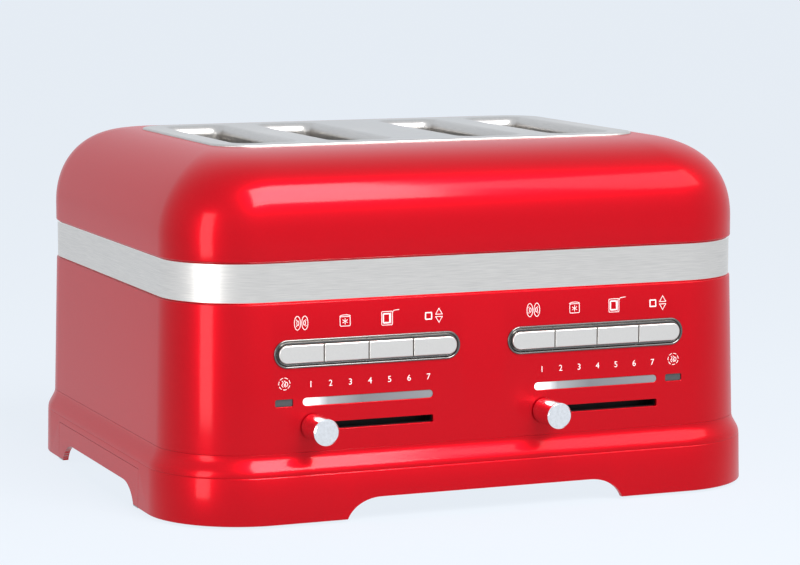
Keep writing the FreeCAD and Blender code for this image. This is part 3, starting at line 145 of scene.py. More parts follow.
looks = {
    "redEnamel": {"color": (0.50, 0.0003, 0.0065), "metal": 0.72, "rough": (0.34, 0.40), "scale": 900, "vary": 0.02,
                  "coat": 0.30, "coatRough": 0.12, "specular": 0.0},
    "brushedBand": {"color": (0.70, 0.665, 0.625), "metal": 1.0, "rough": (0.26, 0.42), "scale": 160,
                    "stretch": (0.5, 0.5, 34), "vary": 0.12, "bump": (0.12, 0.00004), "aniso": 0.5, "detail": 5.0},
    # Smoother steel for the band's chamfers, in a lighter colour that paints their highlight.
    "bandEdgeHighlight": {"color": (0.86, 0.83, 0.79), "metal": 1.0, "rough": (0.08, 0.14), "scale": 300, "vary": 0.03},
    "satinPlate": {"color": (0.55, 0.525, 0.50), "metal": 1.0, "rough": (0.30, 0.40), "scale": 220,
                   "stretch": (24, 0.6, 1), "vary": 0.08, "bump": (0.08, 0.00003), "aniso": 0.3, "detail": 4.0},
    "darkChrome": {"color": (0.15, 0.145, 0.14), "metal": 1.0, "rough": (0.12, 0.20), "scale": 400, "vary": 0.05},
    "satinButton": {"color": (0.72, 0.685, 0.645), "metal": 1.0, "rough": (0.30, 0.36), "scale": 1500, "vary": 0.02},
    "knobMetal": {"color": (0.80, 0.80, 0.81), "metal": 1.0, "rough": (0.10, 0.20), "scale": 700,
                  "stretch": (1, 9, 1), "vary": 0.05},
    "smokedLamp": {"color": (0.035, 0.036, 0.038), "rough": (0.08, 0.14), "scale": 500, "coat": 0.6},
    "blackPlastic": {"color": (0.012, 0.012, 0.013), "rough": (0.42, 0.55), "scale": 1600, "bump": (0.1, 0.00005)},
    "rubber": {"color": (0.022, 0.022, 0.022), "rough": (0.65, 0.8), "scale": 1200, "bump": (0.2, 0.0001)},
    # This sheet steel is darkened to stand for the shade inside the slots: painted shade.
    "shadedSheetSteel": {"color": (0.30, 0.295, 0.29), "metal": 1.0, "rough": (0.28, 0.42), "scale": 130,
                   "stretch": (1, 1, 8), "vary": 0.1},
    "screwSteel": {"color": (0.60, 0.60, 0.61), "metal": 1.0, "rough": (0.22, 0.32), "scale": 900, "vary": 0.05},
    "mica": {"color": (0.20, 0.16, 0.10), "rough": (0.45, 0.62), "scale": 260, "vary": 0.22, "bump": (0.2, 0.0001)},
    "heaterWire": {"color": (0.30, 0.25, 0.21), "metal": 0.85, "rough": (0.38, 0.55), "scale": 300, "vary": 0.25},
    # This chrome is darkened to stand for the shade inside the slots: painted shade.
    "shadedChromeWire": {"color": (0.34, 0.33, 0.32), "metal": 1.0, "rough": (0.14, 0.24), "scale": 500, "vary": 0.06},
    "carriageSteel": {"color": (0.54, 0.54, 0.56), "metal": 1.0, "rough": (0.26, 0.4), "scale": 300, "vary": 0.1},
    "brassGear": {"color": (0.72, 0.50, 0.22), "metal": 1.0, "rough": (0.22, 0.34), "scale": 500, "vary": 0.1},
    "motorCase": {"color": (0.50, 0.50, 0.52), "metal": 1.0, "rough": (0.3, 0.42), "scale": 400,
                  "stretch": (1, 1, 6), "vary": 0.1},
    "circuitBoard": {"color": (0.02, 0.14, 0.06), "rough": (0.32, 0.46), "scale": 350, "vary": 0.25, "coat": 0.3},
    "whitePrint": {"color": (0.78, 0.62, 0.62), "rough": (0.45, 0.55), "scale": 800, "vary": 0.02},
}
materials = {name: finish(name, look) for name, look in looks.items()}


lightLook = {
    # The grey ramp is painted light: the guide is lightest next to its glowing end.
    "glowSpillGray": [(0.0, (0.75, 0.75, 0.75, 1)), (0.14, (0.35, 0.35, 0.36, 1)), (0.45, (0.17, 0.17, 0.18, 1)),
             (1.0, (0.26, 0.26, 0.27, 1))],
    "glow": [(0.0, (1, 1, 1, 1)), (0.09, (0.8, 0.8, 0.8, 1)), (0.19, (0.08, 0.08, 0.08, 1)), (1.0, (0, 0, 0, 1))],
    "strength": 0.85, "metal": 0.55, "rough": 0.28}


def lightGuide(side, low, high):
    # A grey light guide that glows at its left end: both colours are ramps along X, from the bar's low end to its high,
    # and the grey one is painted light, lightest where the glow spreads from the lit end.
    look = lightLook
    made, nodes, links, shader, place = newMaterial(f"lightGuide_{side}")
    split = nodes.new("ShaderNodeSeparateXYZ")
    links.new(place, split.inputs["Vector"])
    share = nodes.new("ShaderNodeMapRange")
    share.inputs["From Min"].default_value = low
    share.inputs["From Max"].default_value = high
    links.new(split.outputs["X"], share.inputs["Value"])
    links.new(rampOn(nodes, links, share.outputs["Result"], look["glowSpillGray"]), shader.inputs["Base Color"])
    links.new(rampOn(nodes, links, share.outputs["Result"], look["glow"]), shader.inputs["Emission Color"])
    shader.inputs["Emission Strength"].default_value = look["strength"]
    shader.inputs["Metallic"].default_value = look["metal"]
    shader.inputs["Roughness"].default_value = look["rough"]
    return made


def meshPiece(name, points, faces, smooth=True):
    # A mesh object from an array of points and one of faces, turned outwards if its volume is negative.
    points = np.asarray(points, dtype=float).reshape(-1, 3)
    faces = np.asarray(faces, dtype=int)
    a, b, c = points[faces[:, 0]], points[faces[:, 1]], points[faces[:, 2]]
    volume = np.einsum("ij,ij->i", a, np.cross(b, c)).sum()
    if faces.shape[1] == 4:
        d = points[faces[:, 3]]
        volume += np.einsum("ij,ij->i", a, np.cross(c, d)).sum()
    if volume < 0:
        faces = faces[:, ::-1]
    mesh = bpy.data.meshes.new(name)
    mesh.from_pydata(points.tolist(), [], faces.tolist())
    mesh.polygons.foreach_set("use_smooth", np.full(len(mesh.polygons), smooth))
    mesh.update()
    piece = bpy.data.objects.new(name, mesh)
    bpy.context.scene.collection.objects.link(piece)
    return piece


def gridFaces(rows, columns, closeRows=False, closeColumns=True):
    # Quads of a grid of points, row after row, that may close on itself either way.
    r = np.arange(rows if closeRows else rows - 1)
    c = np.arange(columns if closeColumns else columns - 1)
    r, c = np.meshgrid(r, c, indexing="ij")
    nextRow, nextColumn = (r + 1) % rows, (c + 1) % columns
    return np.stack([r * columns + c, r * columns + nextColumn, nextRow * columns + nextColumn,
                     nextRow * columns + c], axis=-1).reshape(-1, 4)


def roundedLoops(halfX, halfY, corner, z, perCorner=28, perSide=6):
    # Level loops: a corner point is the corner's centre plus radius times (cos a, sin a); sides are straight.
    halfX, halfY, corner, z = np.broadcast_arrays(*[np.atleast_1d(np.asarray(v, float)) for v in
                                                    (halfX, halfY, corner, z)])
    quarter = np.linspace(0, np.pi / 2, perCorner)
    arcs = []
    for turn, (signX, signY) in enumerate(((1, 1), (-1, 1), (-1, -1), (1, -1))):
        angle = quarter + turn * np.pi / 2
        x = signX * (halfX - corner)[:, None] + corner[:, None] * np.cos(angle)
        y = signY * (halfY - corner)[:, None] + corner[:, None] * np.sin(angle)
        arcs.append(np.stack([x, y], axis=-1))
    share = np.linspace(0, 1, perSide + 2)[1:-1][None, :, None]
    parts = []
    for turn in range(4):
        here, there = arcs[turn], arcs[(turn + 1) % 4]
        parts += [here, here[:, -1:] * (1 - share) + there[:, :1] * share]
    loop = np.concatenate(parts, axis=1)
    height = np.broadcast_to(z[:, None, None], loop.shape[:2] + (1,))
    return np.concatenate([loop, height], axis=-1)


def ringShell(name, levels, perCorner=28, perSide=6):
    # A closed ring whose section is a closed list of (halfX, halfY, corner, z).
    levels = np.array(levels, float)
    loops = roundedLoops(*levels.T, perCorner=perCorner, perSide=perSide)
    rows, columns = loops.shape[:2]
    return meshPiece(name, loops, gridFaces(rows, columns, closeRows=True))


def grown(out, z):
    # A level of the body's own plan, grown outwards.
    return (plan["halfX"] + out, plan["halfY"] + out, plan["corner"] + out, z)


def prismAlong(name, axis, profile, low, high):
    # A closed profile of (u, v) points carried along one axis, with flat ends.
    profile = np.asarray(profile, float)
    count = len(profile)
    ends = []
    for place in (low, high):
        across = np.full(count, place)
        u, v = profile.T
        ends.append(np.stack([u, across, v] if axis == "Y" else [across, u, v], axis=-1))
    mesh = bpy.data.meshes.new(name)
    index = np.arange(count)
    walls = np.stack([index, (index + 1) % count, (index + 1) % count + count, index + count], axis=-1)
    faces = walls.tolist() + [list(range(count))[::-1], list(range(count, 2 * count))]
    mesh.from_pydata(np.concatenate(ends).tolist(), [], faces)
    piece = bpy.data.objects.new(name, mesh)
    bpy.context.scene.collection.objects.link(piece)
    tidy(piece)
    return piece


def tidy(piece):
    # Turns every face of a closed mesh outwards.
    work = bmesh.new()
    work.from_mesh(piece.data)
    bmesh.ops.remove_doubles(work, verts=work.verts, dist=1e-7)
    bmesh.ops.recalc_face_normals(work, faces=work.faces)
    work.to_mesh(piece.data)
    work.free()


def roundedProfile(halfU, halfV, corner, u=0.0, v=0.0, perCorner=12):
    # Points of a rounded rectangle in its own plane.
    loop = roundedLoops(halfU, halfV, corner, 0.0, perCorner=perCorner, perSide=0)[0, :, :2]
    return loop + np.array([u, v])


def settle(piece):
    # Replaces a piece's mesh by what its modifiers make of it.
    graph = bpy.context.evaluated_depsgraph_get()
    done = bpy.data.meshes.new_from_object(piece.evaluated_get(graph))
    piece.modifiers.clear()
    piece.data = done
    return piece


def carve(piece, cutters, how="DIFFERENCE"):
    # Cuts a piece with other closed meshes, which are then removed.
    for cutter in cutters:
        step = piece.modifiers.new("carve", "BOOLEAN")
        step.operation = how
        step.solver = "EXACT"
        step.object = cutter
        settle(piece)
        bpy.data.objects.remove(cutter)
    return piece


def soften(piece, width, segments=2, angle=35):
    # Adds a bevel that rounds edges sharper than an angle by a small width, with hardened normals.
    bevel = piece.modifiers.new("edges", "BEVEL")
    bevel.width = width
    bevel.segments = segments
    bevel.limit_method = "ANGLE"
    bevel.angle_limit = math.radians(angle)
    bevel.harden_normals = True
    return piece


def smoothFaces(piece):
    piece.data.polygons.foreach_set("use_smooth", np.full(len(piece.data.polygons), True))
    piece.data.update()


def sharpByAngle(piece, degrees):
    # Smooth shading that stops at edges sharper than an angle.
    smoothFaces(piece)
    piece.data.set_sharp_from_angle(angle=math.radians(degrees))


def show(piece, material, body, replaced=()):
    piece.data.materials.clear()
    piece.data.materials.append(materials[material] if isinstance(material, str) else material)
    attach(piece, body)
    if replaced:
        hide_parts(*replaced)
    return piece


coverLook = {"curve": 48.4 * mm, "powerX": 2.0, "powerY": 3.0, "lip": 0.8 * mm, "plateCorner": 22 * mm,
             "seatGap": 0.3 * mm, "flange": 2.4 * mm, "chamfer": 0.15 * mm, "ledge": 4.5 * mm, "ledgeDepth": 3.7 * mm,
             "steps": 56, "crowding": 1.5}


def domeLevels(wall, halfX, halfY, corner, top, look):
    # Superellipse sections: the half sizes go from the wall's to the top's as (1 - s^n)^(1/n) and the corner as the
    # root of 1 - s^2, where s is the share of the height, spaced as a sine so that the rows crowd near the top.
    spring = coverHigh[2] - look["curve"]
    u = np.linspace(0, 1, look["steps"])
    share = np.sin(np.pi / 2 * (1 - (1 - u) ** look["crowding"]))
    fallX = (1 - share ** look["powerX"]) ** (1 / look["powerX"])
    fallY = (1 - share ** look["powerY"]) ** (1 / look["powerY"])
    fallCorner = np.sqrt(1 - share ** 2)
    return list(zip(halfX + (plan["halfX"] - wall - halfX) * fallX, halfY + (plan["halfY"] - wall - halfY) * fallY,
                    corner + (plan["corner"] - wall - corner) * fallCorner, spring + (top - spring) * share))


def rolled(radius, z, out=0.0, upwards=True, steps=5):
    # A quarter-round lip at a wall's end, from the end's face onto the wall: at angle a it is set in by
    # radius times 1 - cos a, and it has risen by radius times 1 - sin a.
    angle = np.linspace(np.pi / 2, 0, steps)
    inset = radius * (1 - np.cos(angle))
    rise = radius * (1 - np.sin(angle))
    rows = [grown(out - i, z + (r if upwards else -r)) for i, r in zip(inset, rise)]
    return rows if upwards else rows[::-1]


def makeCover():
    look = coverLook
    topX = plateHigh[0] + look["seatGap"]
    topY = plateHigh[1] + look["seatGap"]
    topCorner = look["plateCorner"] + look["seatGap"]
    outer = rolled(look["lip"], coverLow[2]) + domeLevels(0, topX, topY, topCorner, coverHigh[2], look)
    seatZ = plateHigh[2] - look["flange"]
    chamfer = look["chamfer"]
    inX = plateHigh[0] - look["ledge"]
    inY = plateHigh[1] - look["ledge"]
    inCorner = look["plateCorner"] - look["ledge"]
    seat = [(topX - chamfer, topY - chamfer, topCorner, coverHigh[2] - chamfer),
            (topX - chamfer, topY - chamfer, topCorner, seatZ), (inX, inY, inCorner, seatZ)]
    inner = domeLevels(plan["wall"], inX, inY, inCorner, coverHigh[2] - look["ledgeDepth"], look)[::-1]
    foot = [grown(-plan["wall"], coverLow[2])]
    piece = ringShell("upper_cover_shell", outer + seat + inner + foot, perCorner=36, perSide=10)
    sharpByAngle(piece, 50)
    return show(piece, "redEnamel", "frame", ["upper_cover"])


bandLook = {"recess": 0.8 * mm, "edge": 0.7 * mm, "rise": 0.9 * mm, "wall": 2.5 * mm}


def makeBand():
    # A flat ring with a chamfer at each end; the chamfers have a smoother steel whose lighter colour is a painted
    # highlight.
    look = bandLook
    out = -look["recess"]
    low, high = bandLow[2], bandHigh[2]
    levels = [grown(out - look["edge"], low), grown(out, low + look["rise"]), grown(out, high - look["rise"]),
              grown(out - look["edge"], high), grown(out - look["wall"], high), grown(out - look["wall"], low)]
    piece = ringShell("trim_band_ring", levels, perCorner=36, perSide=10)
    sharpByAngle(piece, 20)
    show(piece, "brushedBand", "frame", ["trim_band"])
    piece.data.materials.append(materials["bandEdgeHighlight"])
    centres = np.zeros(len(piece.data.polygons) * 3)
    piece.data.polygons.foreach_get("center", centres)
    height = centres.reshape(-1, 3)[:, 2]
    edge = (height < low + look["rise"]) | (height > high - look["rise"])
    piece.data.polygons.foreach_set("material_index", edge.astype(int))
    return piece


controls = {"centre": 72.4 * mm, "bezelX": 114.6 / 2 * mm, "bezelZ": 16.5 / 2 * mm, "barX": 80.2 / 2 * mm,
            "barZ": 4.6 / 2 * mm, "slotZ": 4.3 / 2 * mm, "lampX": 10.8 / 2 * mm, "lampZ": 4.2 / 2 * mm,
            "lampOut": 51.4 * mm, "rim": 1.3 * mm}
buttonZ = sum(boxOf("button_bezel_left")[i][2] for i in (0, 1)) / 2
lightZ = sum(boxOf("light_bar_left")[i][2] for i in (0, 1)) / 2
shadeZ = sum(boxOf("shade_knob_left")[i][2] for i in (0, 1)) / 2


housingLook = {"lip": 0.6 * mm, "edge": 0.3 * mm, "cutReach": 10 * mm, "bezelGap": 0.1 * mm, "roundGap": 0.01 * mm,
               "slotCorner": 0.9 * mm, "lampCorner": 1.0 * mm, "inletHole": 6.1 * mm}


def makeHousing():
    # A drafted wall with a rolled upper lip, cut by the buttons' necks, the light bars, the slots, lamps and inlet.
    look = housingLook
    low, high = housingLow[2], housingHigh[2]
    wall, cutReach, roundGap = plan["wall"], look["cutReach"], look["roundGap"]
    levels = [grown(draft, low)] + rolled(look["lip"], high, upwards=False)
    levels += [grown(-wall, high), grown(draft - wall, low)]
    piece = ringShell("lower_housing_shell", levels, perCorner=36, perSide=10)
    cutters = []
    for sign in (-1, 1):
        x = sign * controls["centre"]
        front, back = frontAt(buttonZ) - cutReach, frontAt(buttonZ) + cutReach
        neckZ = controls["bezelZ"] - controls["rim"] + look["bezelGap"]
        neckX = controls["bezelX"] - controls["rim"] + look["bezelGap"]
        for halfU, halfV, corner, u, v in (
                (neckX, neckZ, neckZ - roundGap, x, buttonZ),
                (controls["barX"], controls["barZ"], controls["barZ"] - roundGap, x, lightZ),
                (controls["barX"], controls["slotZ"], look["slotCorner"], x, shadeZ),
                (controls["lampX"], controls["lampZ"], look["lampCorner"],
                 sign * (controls["centre"] + controls["lampOut"]), lightZ)):
            cutters.append(prismAlong("cutter", "Y", roundedProfile(halfU, halfV, corner, u, v), front, back))
    inletLow, inletHigh = boxOf("cord_inlet")
    inletX, inletZ = (inletLow[0] + inletHigh[0]) / 2, (inletLow[2] + inletHigh[2]) / 2
    hole = roundedProfile(look["inletHole"], look["inletHole"], look["inletHole"] - roundGap, inletX, inletZ)
    cutters.append(prismAlong("cutter", "Y", hole, -frontAt(inletZ) - cutReach, -frontAt(inletZ) + cutReach))
    carve(piece, cutters)
    sharpByAngle(piece, 35)
    soften(piece, look["edge"])
    return show(piece, "redEnamel", "frame", ["lower_housing"])


baseLook = {"crease": 29 * mm, "flareOut": 4.6 * mm, "skirtDraft": 0.6 * mm, "wall": 3 * mm, "steps": 20,
            "lip": 0.7 * mm, "edge": 0.3 * mm, "easeFrom": 0.3 * mm, "easeShort": 0.06 * mm,
            "groove": ((0.02 * mm, -0.5 * mm), (-0.1 * mm, -0.25 * mm), (-0.28 * mm, -0.05 * mm),
                       (-0.28 * mm, 0.1 * mm)),  # outwards from the skirt and up from the crease
            "archHeight": 12 * mm, "archFront": 66.5 * mm, "archSide": 55 * mm,
            "archCurve": 22 * mm, "archDrop": 17 * mm, "archBelow": 2 * mm, "archSteps": 14,
            "window": 85.4 * mm, "windowHeight": 23.4 * mm, "windowCorner": 0.6 * mm, "windowBelow": -0.03,
            "windowDepth": 5 * mm, "gap": 0.18 * mm, "archReach": 0.3, "windowReach": 0.25}


def plinthShell(name):
    # Skirt, hairline groove, and a step that eases in and out as half a cosine wave.
    look = baseLook
    low, high = baseLow[2], baseHigh[2]
    out = draft + look["flareOut"]
    crease = look["crease"]
    levels = rolled(look["lip"], low, out + look["skirtDraft"])
    levels += [grown(out + step, crease + rise) for step, rise in look["groove"]]
    share = np.linspace(0, 1, look["steps"])
    ease = (1 + np.cos(np.pi * share)) / 2
    start = crease + look["easeFrom"]
    levels += [grown(draft + (look["flareOut"] - look["easeShort"]) * e, start + (high - start) * s)
               for e, s in zip(ease, share)]
    levels += [grown(draft - look["wall"], high), grown(out - look["wall"], crease),
               grown(out - look["wall"], low)]
    return ringShell(name, levels, perCorner=36, perSide=10)


def archProfile(half):
    # The arch: a straight top whose ends curve down as quarter ellipses.
    look = baseLook
    top = baseLow[2] + look["archHeight"]
    centre = top - look["archDrop"]
    bottom = baseLow[2] - look["archBelow"]
    lowest = math.asin((bottom - centre) / look["archDrop"])
    angle = np.linspace(lowest, np.pi / 2, look["archSteps"])
    right = np.stack([half + look["archCurve"] * np.cos(angle), centre + look["archDrop"] * np.sin(angle)], axis=-1)
    left = right[::-1] * np.array([-1, 1])
    return np.concatenate([right, left])


def archedPlinth(name):
    reach = baseLook["archReach"]
    shell = plinthShell(name)
    carve(shell, [prismAlong("cutter", "Y", archProfile(baseLook["archFront"]), -reach, reach),
                  prismAlong("cutter", "X", archProfile(baseLook["archSide"]), -reach, reach)])
    return shell


def blockProfile(half, low, high, corner):
    return roundedProfile(half, (high - low) / 2, corner, 0, (low + high) / 2, perCorner=5)


def makeBase():
    # Each tray's front is a block cut out of a second plinth, so that it carries on the skirt and the arch.
    look = baseLook
    windowTop = baseLow[2] + look["windowHeight"]
    near, below, corner = plan["halfX"] - look["windowDepth"], look["windowBelow"], look["windowCorner"]
    plinth = archedPlinth("base_plinth_shell")
    fronts = []
    for side, sign in (("left", -1), ("right", 1)):
        low, high = sorted((sign * near, sign * look["windowReach"]))
        window = blockProfile(look["window"], below, windowTop, corner)
        carve(plinth, [prismAlong("cutter", "X", window, low, high)])
        front = archedPlinth(f"crumb_tray_front_{side}")
        half = look["window"] - look["gap"]
        block = blockProfile(half, below, windowTop - look["gap"], corner)
        carve(front, [prismAlong("cutter", "X", block, low, high)], "INTERSECT")
        fronts.append((front, side))
    sharpByAngle(plinth, 35)
    soften(plinth, look["edge"])
    show(plinth, "redEnamel", "frame", ["base_plinth"])
    for front, side in fronts:
        sharpByAngle(front, 35)
        soften(front, look["edge"])
        show(front, "redEnamel", f"tray_{side}")


makeCover()
makeBand()
makeHousing()
makeBase()
print("stage: shells")


bezelLook = {"slopes": ((0.0, -0.3), (0.0, 0.4), (0.12, 0.74), (0.4, 0.95), (0.7, 1.0), (1.0, 0.9), (1.3, 0.55),
                        (1.55, 0.1), (1.75, -0.15), (2.0, -0.2)),
             "mouthX": 55.0 * mm, "mouthZ": 5.55 * mm, "mouthCorner": 5.3 * mm, "mouthLip": 0.2 * mm,
             "depth": 6 * mm, "flangeIn": 2.0 * mm, "flangeBack": 0.9 * mm}


def makeBezel(side, sign):
    # A rolled rim that falls into a groove round the buttons: each level is set in from the bezel's outline and
    # stands off the drafted wall by its height.
    look = bezelLook
    levels = [(controls["bezelX"] - inset * mm, controls["bezelZ"] - inset * mm, controls["bezelZ"] - inset * mm,
               height * mm) for inset, height in look["slopes"]]
    mouth = (look["mouthX"], look["mouthZ"], look["mouthCorner"])
    flangeIn, back = look["flangeIn"], -look["flangeBack"]
    inside = (controls["bezelX"] - flangeIn, controls["bezelZ"] - flangeIn, controls["bezelZ"] - flangeIn)
    levels += [mouth + (-look["mouthLip"],), mouth + (-look["depth"],), inside + (-look["depth"],),
               inside + (back,), (controls["bezelX"], controls["bezelZ"], controls["bezelZ"], back)]
    loops = roundedLoops(*np.array(levels).T, perCorner=20, perSide=2)
    x = loops[..., 0] + sign * controls["centre"]
    z = loops[..., 1] + buttonZ
    y = frontAt(z) - loops[..., 2]
    rows, columns = x.shape
    faces = gridFaces(rows, columns, closeRows=True)
    piece = meshPiece(f"button_bezel_rim_{side}", np.stack([x, y, z], axis=-1), faces)
    sharpByAngle(piece, 50)
    return show(piece, "darkChrome", "frame", [f"button_bezel_{side}"])


for side, sign in (("left", -1), ("right", 1)):
    makeBezel(side, sign)


prints = {"lift": 0.05 * mm, "line": 0.36 * mm, "iconZ": buttonZ + 17.4 * mm, "numberZ": lightZ + 9.9 * mm,
          "number": 3.68 * mm, "capShare": 0.73, "numberFrom": -35.2 * mm, "numberStep": 12.08 * mm, "numbers": 7,
          "warmIn": 0.2 * mm, "warmUp": 1.2 * mm,
          "icons": (-40.55 * mm, -13.85 * mm, 11.95 * mm, 37.75 * mm)}


class Ink:
    # Flat shapes gathered in the plane of the front wall and then laid on it as one mesh.

    def __init__(self):
        self.points, self.faces = [], []

    def stroke(self, points, closed=False, line=None):
        # A line of even width along a path: each point moves half the width to either side.
        points = np.asarray(points, float)
        half = (line or prints["line"]) / 2
        ahead = np.roll(points, -1, axis=0) - points
        back = points - np.roll(points, 1, axis=0)
        if not closed:
            ahead[-1], back[0] = back[-1], ahead[0]
        ahead /= np.linalg.norm(ahead, axis=1)[:, None]
        back /= np.linalg.norm(back, axis=1)[:, None]
        way = ahead + back
        way /= np.linalg.norm(way, axis=1)[:, None]
        side = np.stack([-way[:, 1], way[:, 0]], axis=-1)
        side *= (half / np.clip((side * np.stack([-ahead[:, 1], ahead[:, 0]], axis=-1)).sum(axis=1), 0.4, 1))[:, None]
        start, count = len(self.points), len(points)
        self.points += [tuple(p) for p in points - side] + [tuple(p) for p in points + side]
        for i in range(count if closed else count - 1):
            j = (i + 1) % count
            self.faces.append([start + i, start + j, start + count + j, start + count + i])

    def text(self, word, x, z, height):
        curve = bpy.data.curves.new("word", "FONT")
        curve.body, curve.align_x, curve.align_y = word, "CENTER", "CENTER"
        curve.size = height / prints["capShare"]
        curve.resolution_u = 4
        holder = bpy.data.objects.new("word", curve)
        mesh = bpy.data.meshes.new_from_object(holder)
        start = len(self.points)
        flat = np.empty(len(mesh.vertices) * 3)
        mesh.vertices.foreach_get("co", flat)
        self.points += (flat.reshape(-1, 3)[:, :2] + np.array([x, z])).tolist()
        self.faces += [[start + i for i in face.vertices] for face in mesh.polygons]
        bpy.data.objects.remove(holder)

    def lay(self, name):
        flat = np.array(self.points)
        y = frontAt(flat[:, 1]) - prints["lift"]
        mesh = bpy.data.meshes.new(name)
        mesh.from_pydata(np.stack([flat[:, 0], y, flat[:, 1]], axis=-1).tolist(), [], self.faces)
        piece = bpy.data.objects.new(name, mesh)
        bpy.context.scene.collection.objects.link(piece)
        return show(piece, "whitePrint", "frame")


def oval(x, z, halfX, halfZ, count=28, start=0.0, end=2 * np.pi, closed=True):
    # Points x + halfX cos a, z + halfZ sin a.
    angle = np.linspace(start, end, count, endpoint=not closed)
    return np.stack([x + halfX * np.cos(angle), z + halfZ * np.sin(angle)], axis=-1)


def frameOf(x, z, halfX, halfZ, corner):
    return roundedProfile(halfX, halfZ, corner, x, z, perCorner=5)


# Sizes of the symbols, each measured from the symbol's own middle.
bagelLook = {"apart": 2.25 * mm, "halves": (1.85 * mm, 3.9 * mm), "holesApart": 2.0 * mm, "hole": (0.6 * mm, 1.3 * mm),
             "tickFrom": (2.7 * mm, 2.1 * mm), "tickTo": (3.0 * mm, 1.3 * mm)}
frostLook = {"down": 0.4 * mm, "body": (3.1 * mm, 2.7 * mm, 0.7 * mm), "crownUp": 2.3 * mm,
             "crown": (3.3 * mm, 1.0 * mm), "arm": 1.8 * mm, "arms": 3}
sandwichLook = {"outer": (3.3 * mm, 3.9 * mm, 0.5 * mm), "innerLeft": 0.3 * mm, "inner": (2.0 * mm, 2.6 * mm, 0.5 * mm),
                "innerLine": 0.8 * mm, "edge": (2.3 * mm, 3.2 * mm),
                "flag": ((3.3 * mm, 3.0 * mm), (4.2 * mm, 4.4 * mm), (7.6 * mm, 4.7 * mm))}
liftLook = {"box": (1.9 * mm, 1.9 * mm, 0.2 * mm), "boxLine": 0.7 * mm, "arrowFrom": 0.7 * mm,
            "arrow": (4.4 * mm, 6.5 * mm, 8.6 * mm), "arrowHigh": 3.4 * mm}
warmLook = {"rays": 7, "ring": 3.4 * mm, "rayTurn": 0.62, "waves": (-1.1, 0.3), "waveHigh": 1.9, "waveWide": 0.45,
            "waveTurn": 2.2, "drop": (1.3 * mm, -0.2 * mm, 0.7 * mm, 1.2 * mm)}


def bagelIcon(ink, x, z):
    look = bagelLook
    (fromX, fromZ), (toX, toZ) = look["tickFrom"], look["tickTo"]
    for side in (-1, 1):
        ink.stroke(oval(x + side * look["apart"], z, *look["halves"]), closed=True)
        ink.stroke(oval(x + side * look["holesApart"], z, *look["hole"], 16), closed=True)
        for up in (-1, 1):
            ink.stroke([(x + side * fromX, z + up * fromZ), (x + side * toX, z + up * toZ)])


def frostIcon(ink, x, z):
    look = frostLook
    middle = z - look["down"]
    ink.stroke(frameOf(x, middle, *look["body"]), closed=True)
    ink.stroke(oval(x, z + look["crownUp"], *look["crown"], 14, 0, np.pi, closed=False))
    for step in range(look["arms"]):
        turn = np.pi / 2 + step * np.pi / look["arms"]
        dx, dz = look["arm"] * np.cos(turn), look["arm"] * np.sin(turn)
        ink.stroke([(x - dx, middle - dz), (x + dx, middle + dz)])


def sandwichIcon(ink, x, z):
    look = sandwichLook
    edgeX, edgeZ = look["edge"]
    ink.stroke(frameOf(x, z, *look["outer"]), closed=True)
    ink.stroke(frameOf(x - look["innerLeft"], z, *look["inner"]), closed=True, line=look["innerLine"])
    ink.stroke([(x + edgeX, z - edgeZ), (x + edgeX, z + edgeZ)])
    ink.stroke([(x + right, z + up) for right, up in look["flag"]])


def liftIcon(ink, x, z):
    look = liftLook
    near, tip, far = look["arrow"]
    ink.stroke(frameOf(x, z, *look["box"]), closed=True, line=look["boxLine"])
    for up in (-1, 1):
        base = z + up * look["arrowFrom"]
        ink.stroke([(x + near, base), (x + far, base), (x + tip, base + up * look["arrowHigh"])], closed=True)


def warmIcon(ink, x, z):
    # A broken ring round two waves and a drop: a wave's shift sideways is a sine of its height.
    look = warmLook
    dropX, dropZ, dropHalfX, dropHalfZ = look["drop"]
    for step in range(look["rays"]):
        start = step * 2 * np.pi / look["rays"]
        ink.stroke(oval(x, z, look["ring"], look["ring"], 7, start, start + look["rayTurn"], closed=False))
    for shift in look["waves"]:
        rise = np.linspace(-look["waveHigh"], look["waveHigh"], 12)
        sway = shift + look["waveWide"] * np.sin(rise * look["waveTurn"])
        ink.stroke(np.stack([x + sway * mm, z + rise * mm], axis=-1))
    ink.stroke(oval(x + dropX, z + dropZ, dropHalfX, dropHalfZ, 12), closed=True)


def makePrints(side, sign):
    ink = Ink()
    centre = sign * controls["centre"]
    drawings = (bagelIcon, frostIcon, sandwichIcon, liftIcon)
    for draw, offset in zip(drawings, prints["icons"]):
        draw(ink, centre + offset, prints["iconZ"])
    for number in range(prints["numbers"]):
        x = centre + prints["numberFrom"] + number * prints["numberStep"]
        ink.text(str(number + 1), x, prints["numberZ"], prints["number"])
    warmX = sign * (controls["centre"] + controls["lampOut"] - prints["warmIn"])
    warmIcon(ink, warmX, prints["numberZ"] + prints["warmUp"])
    ink.lay(f"front_print_{side}")


for side, sign in (("left", -1), ("right", 1)):
    makePrints(side, sign)
print("stage: prints")

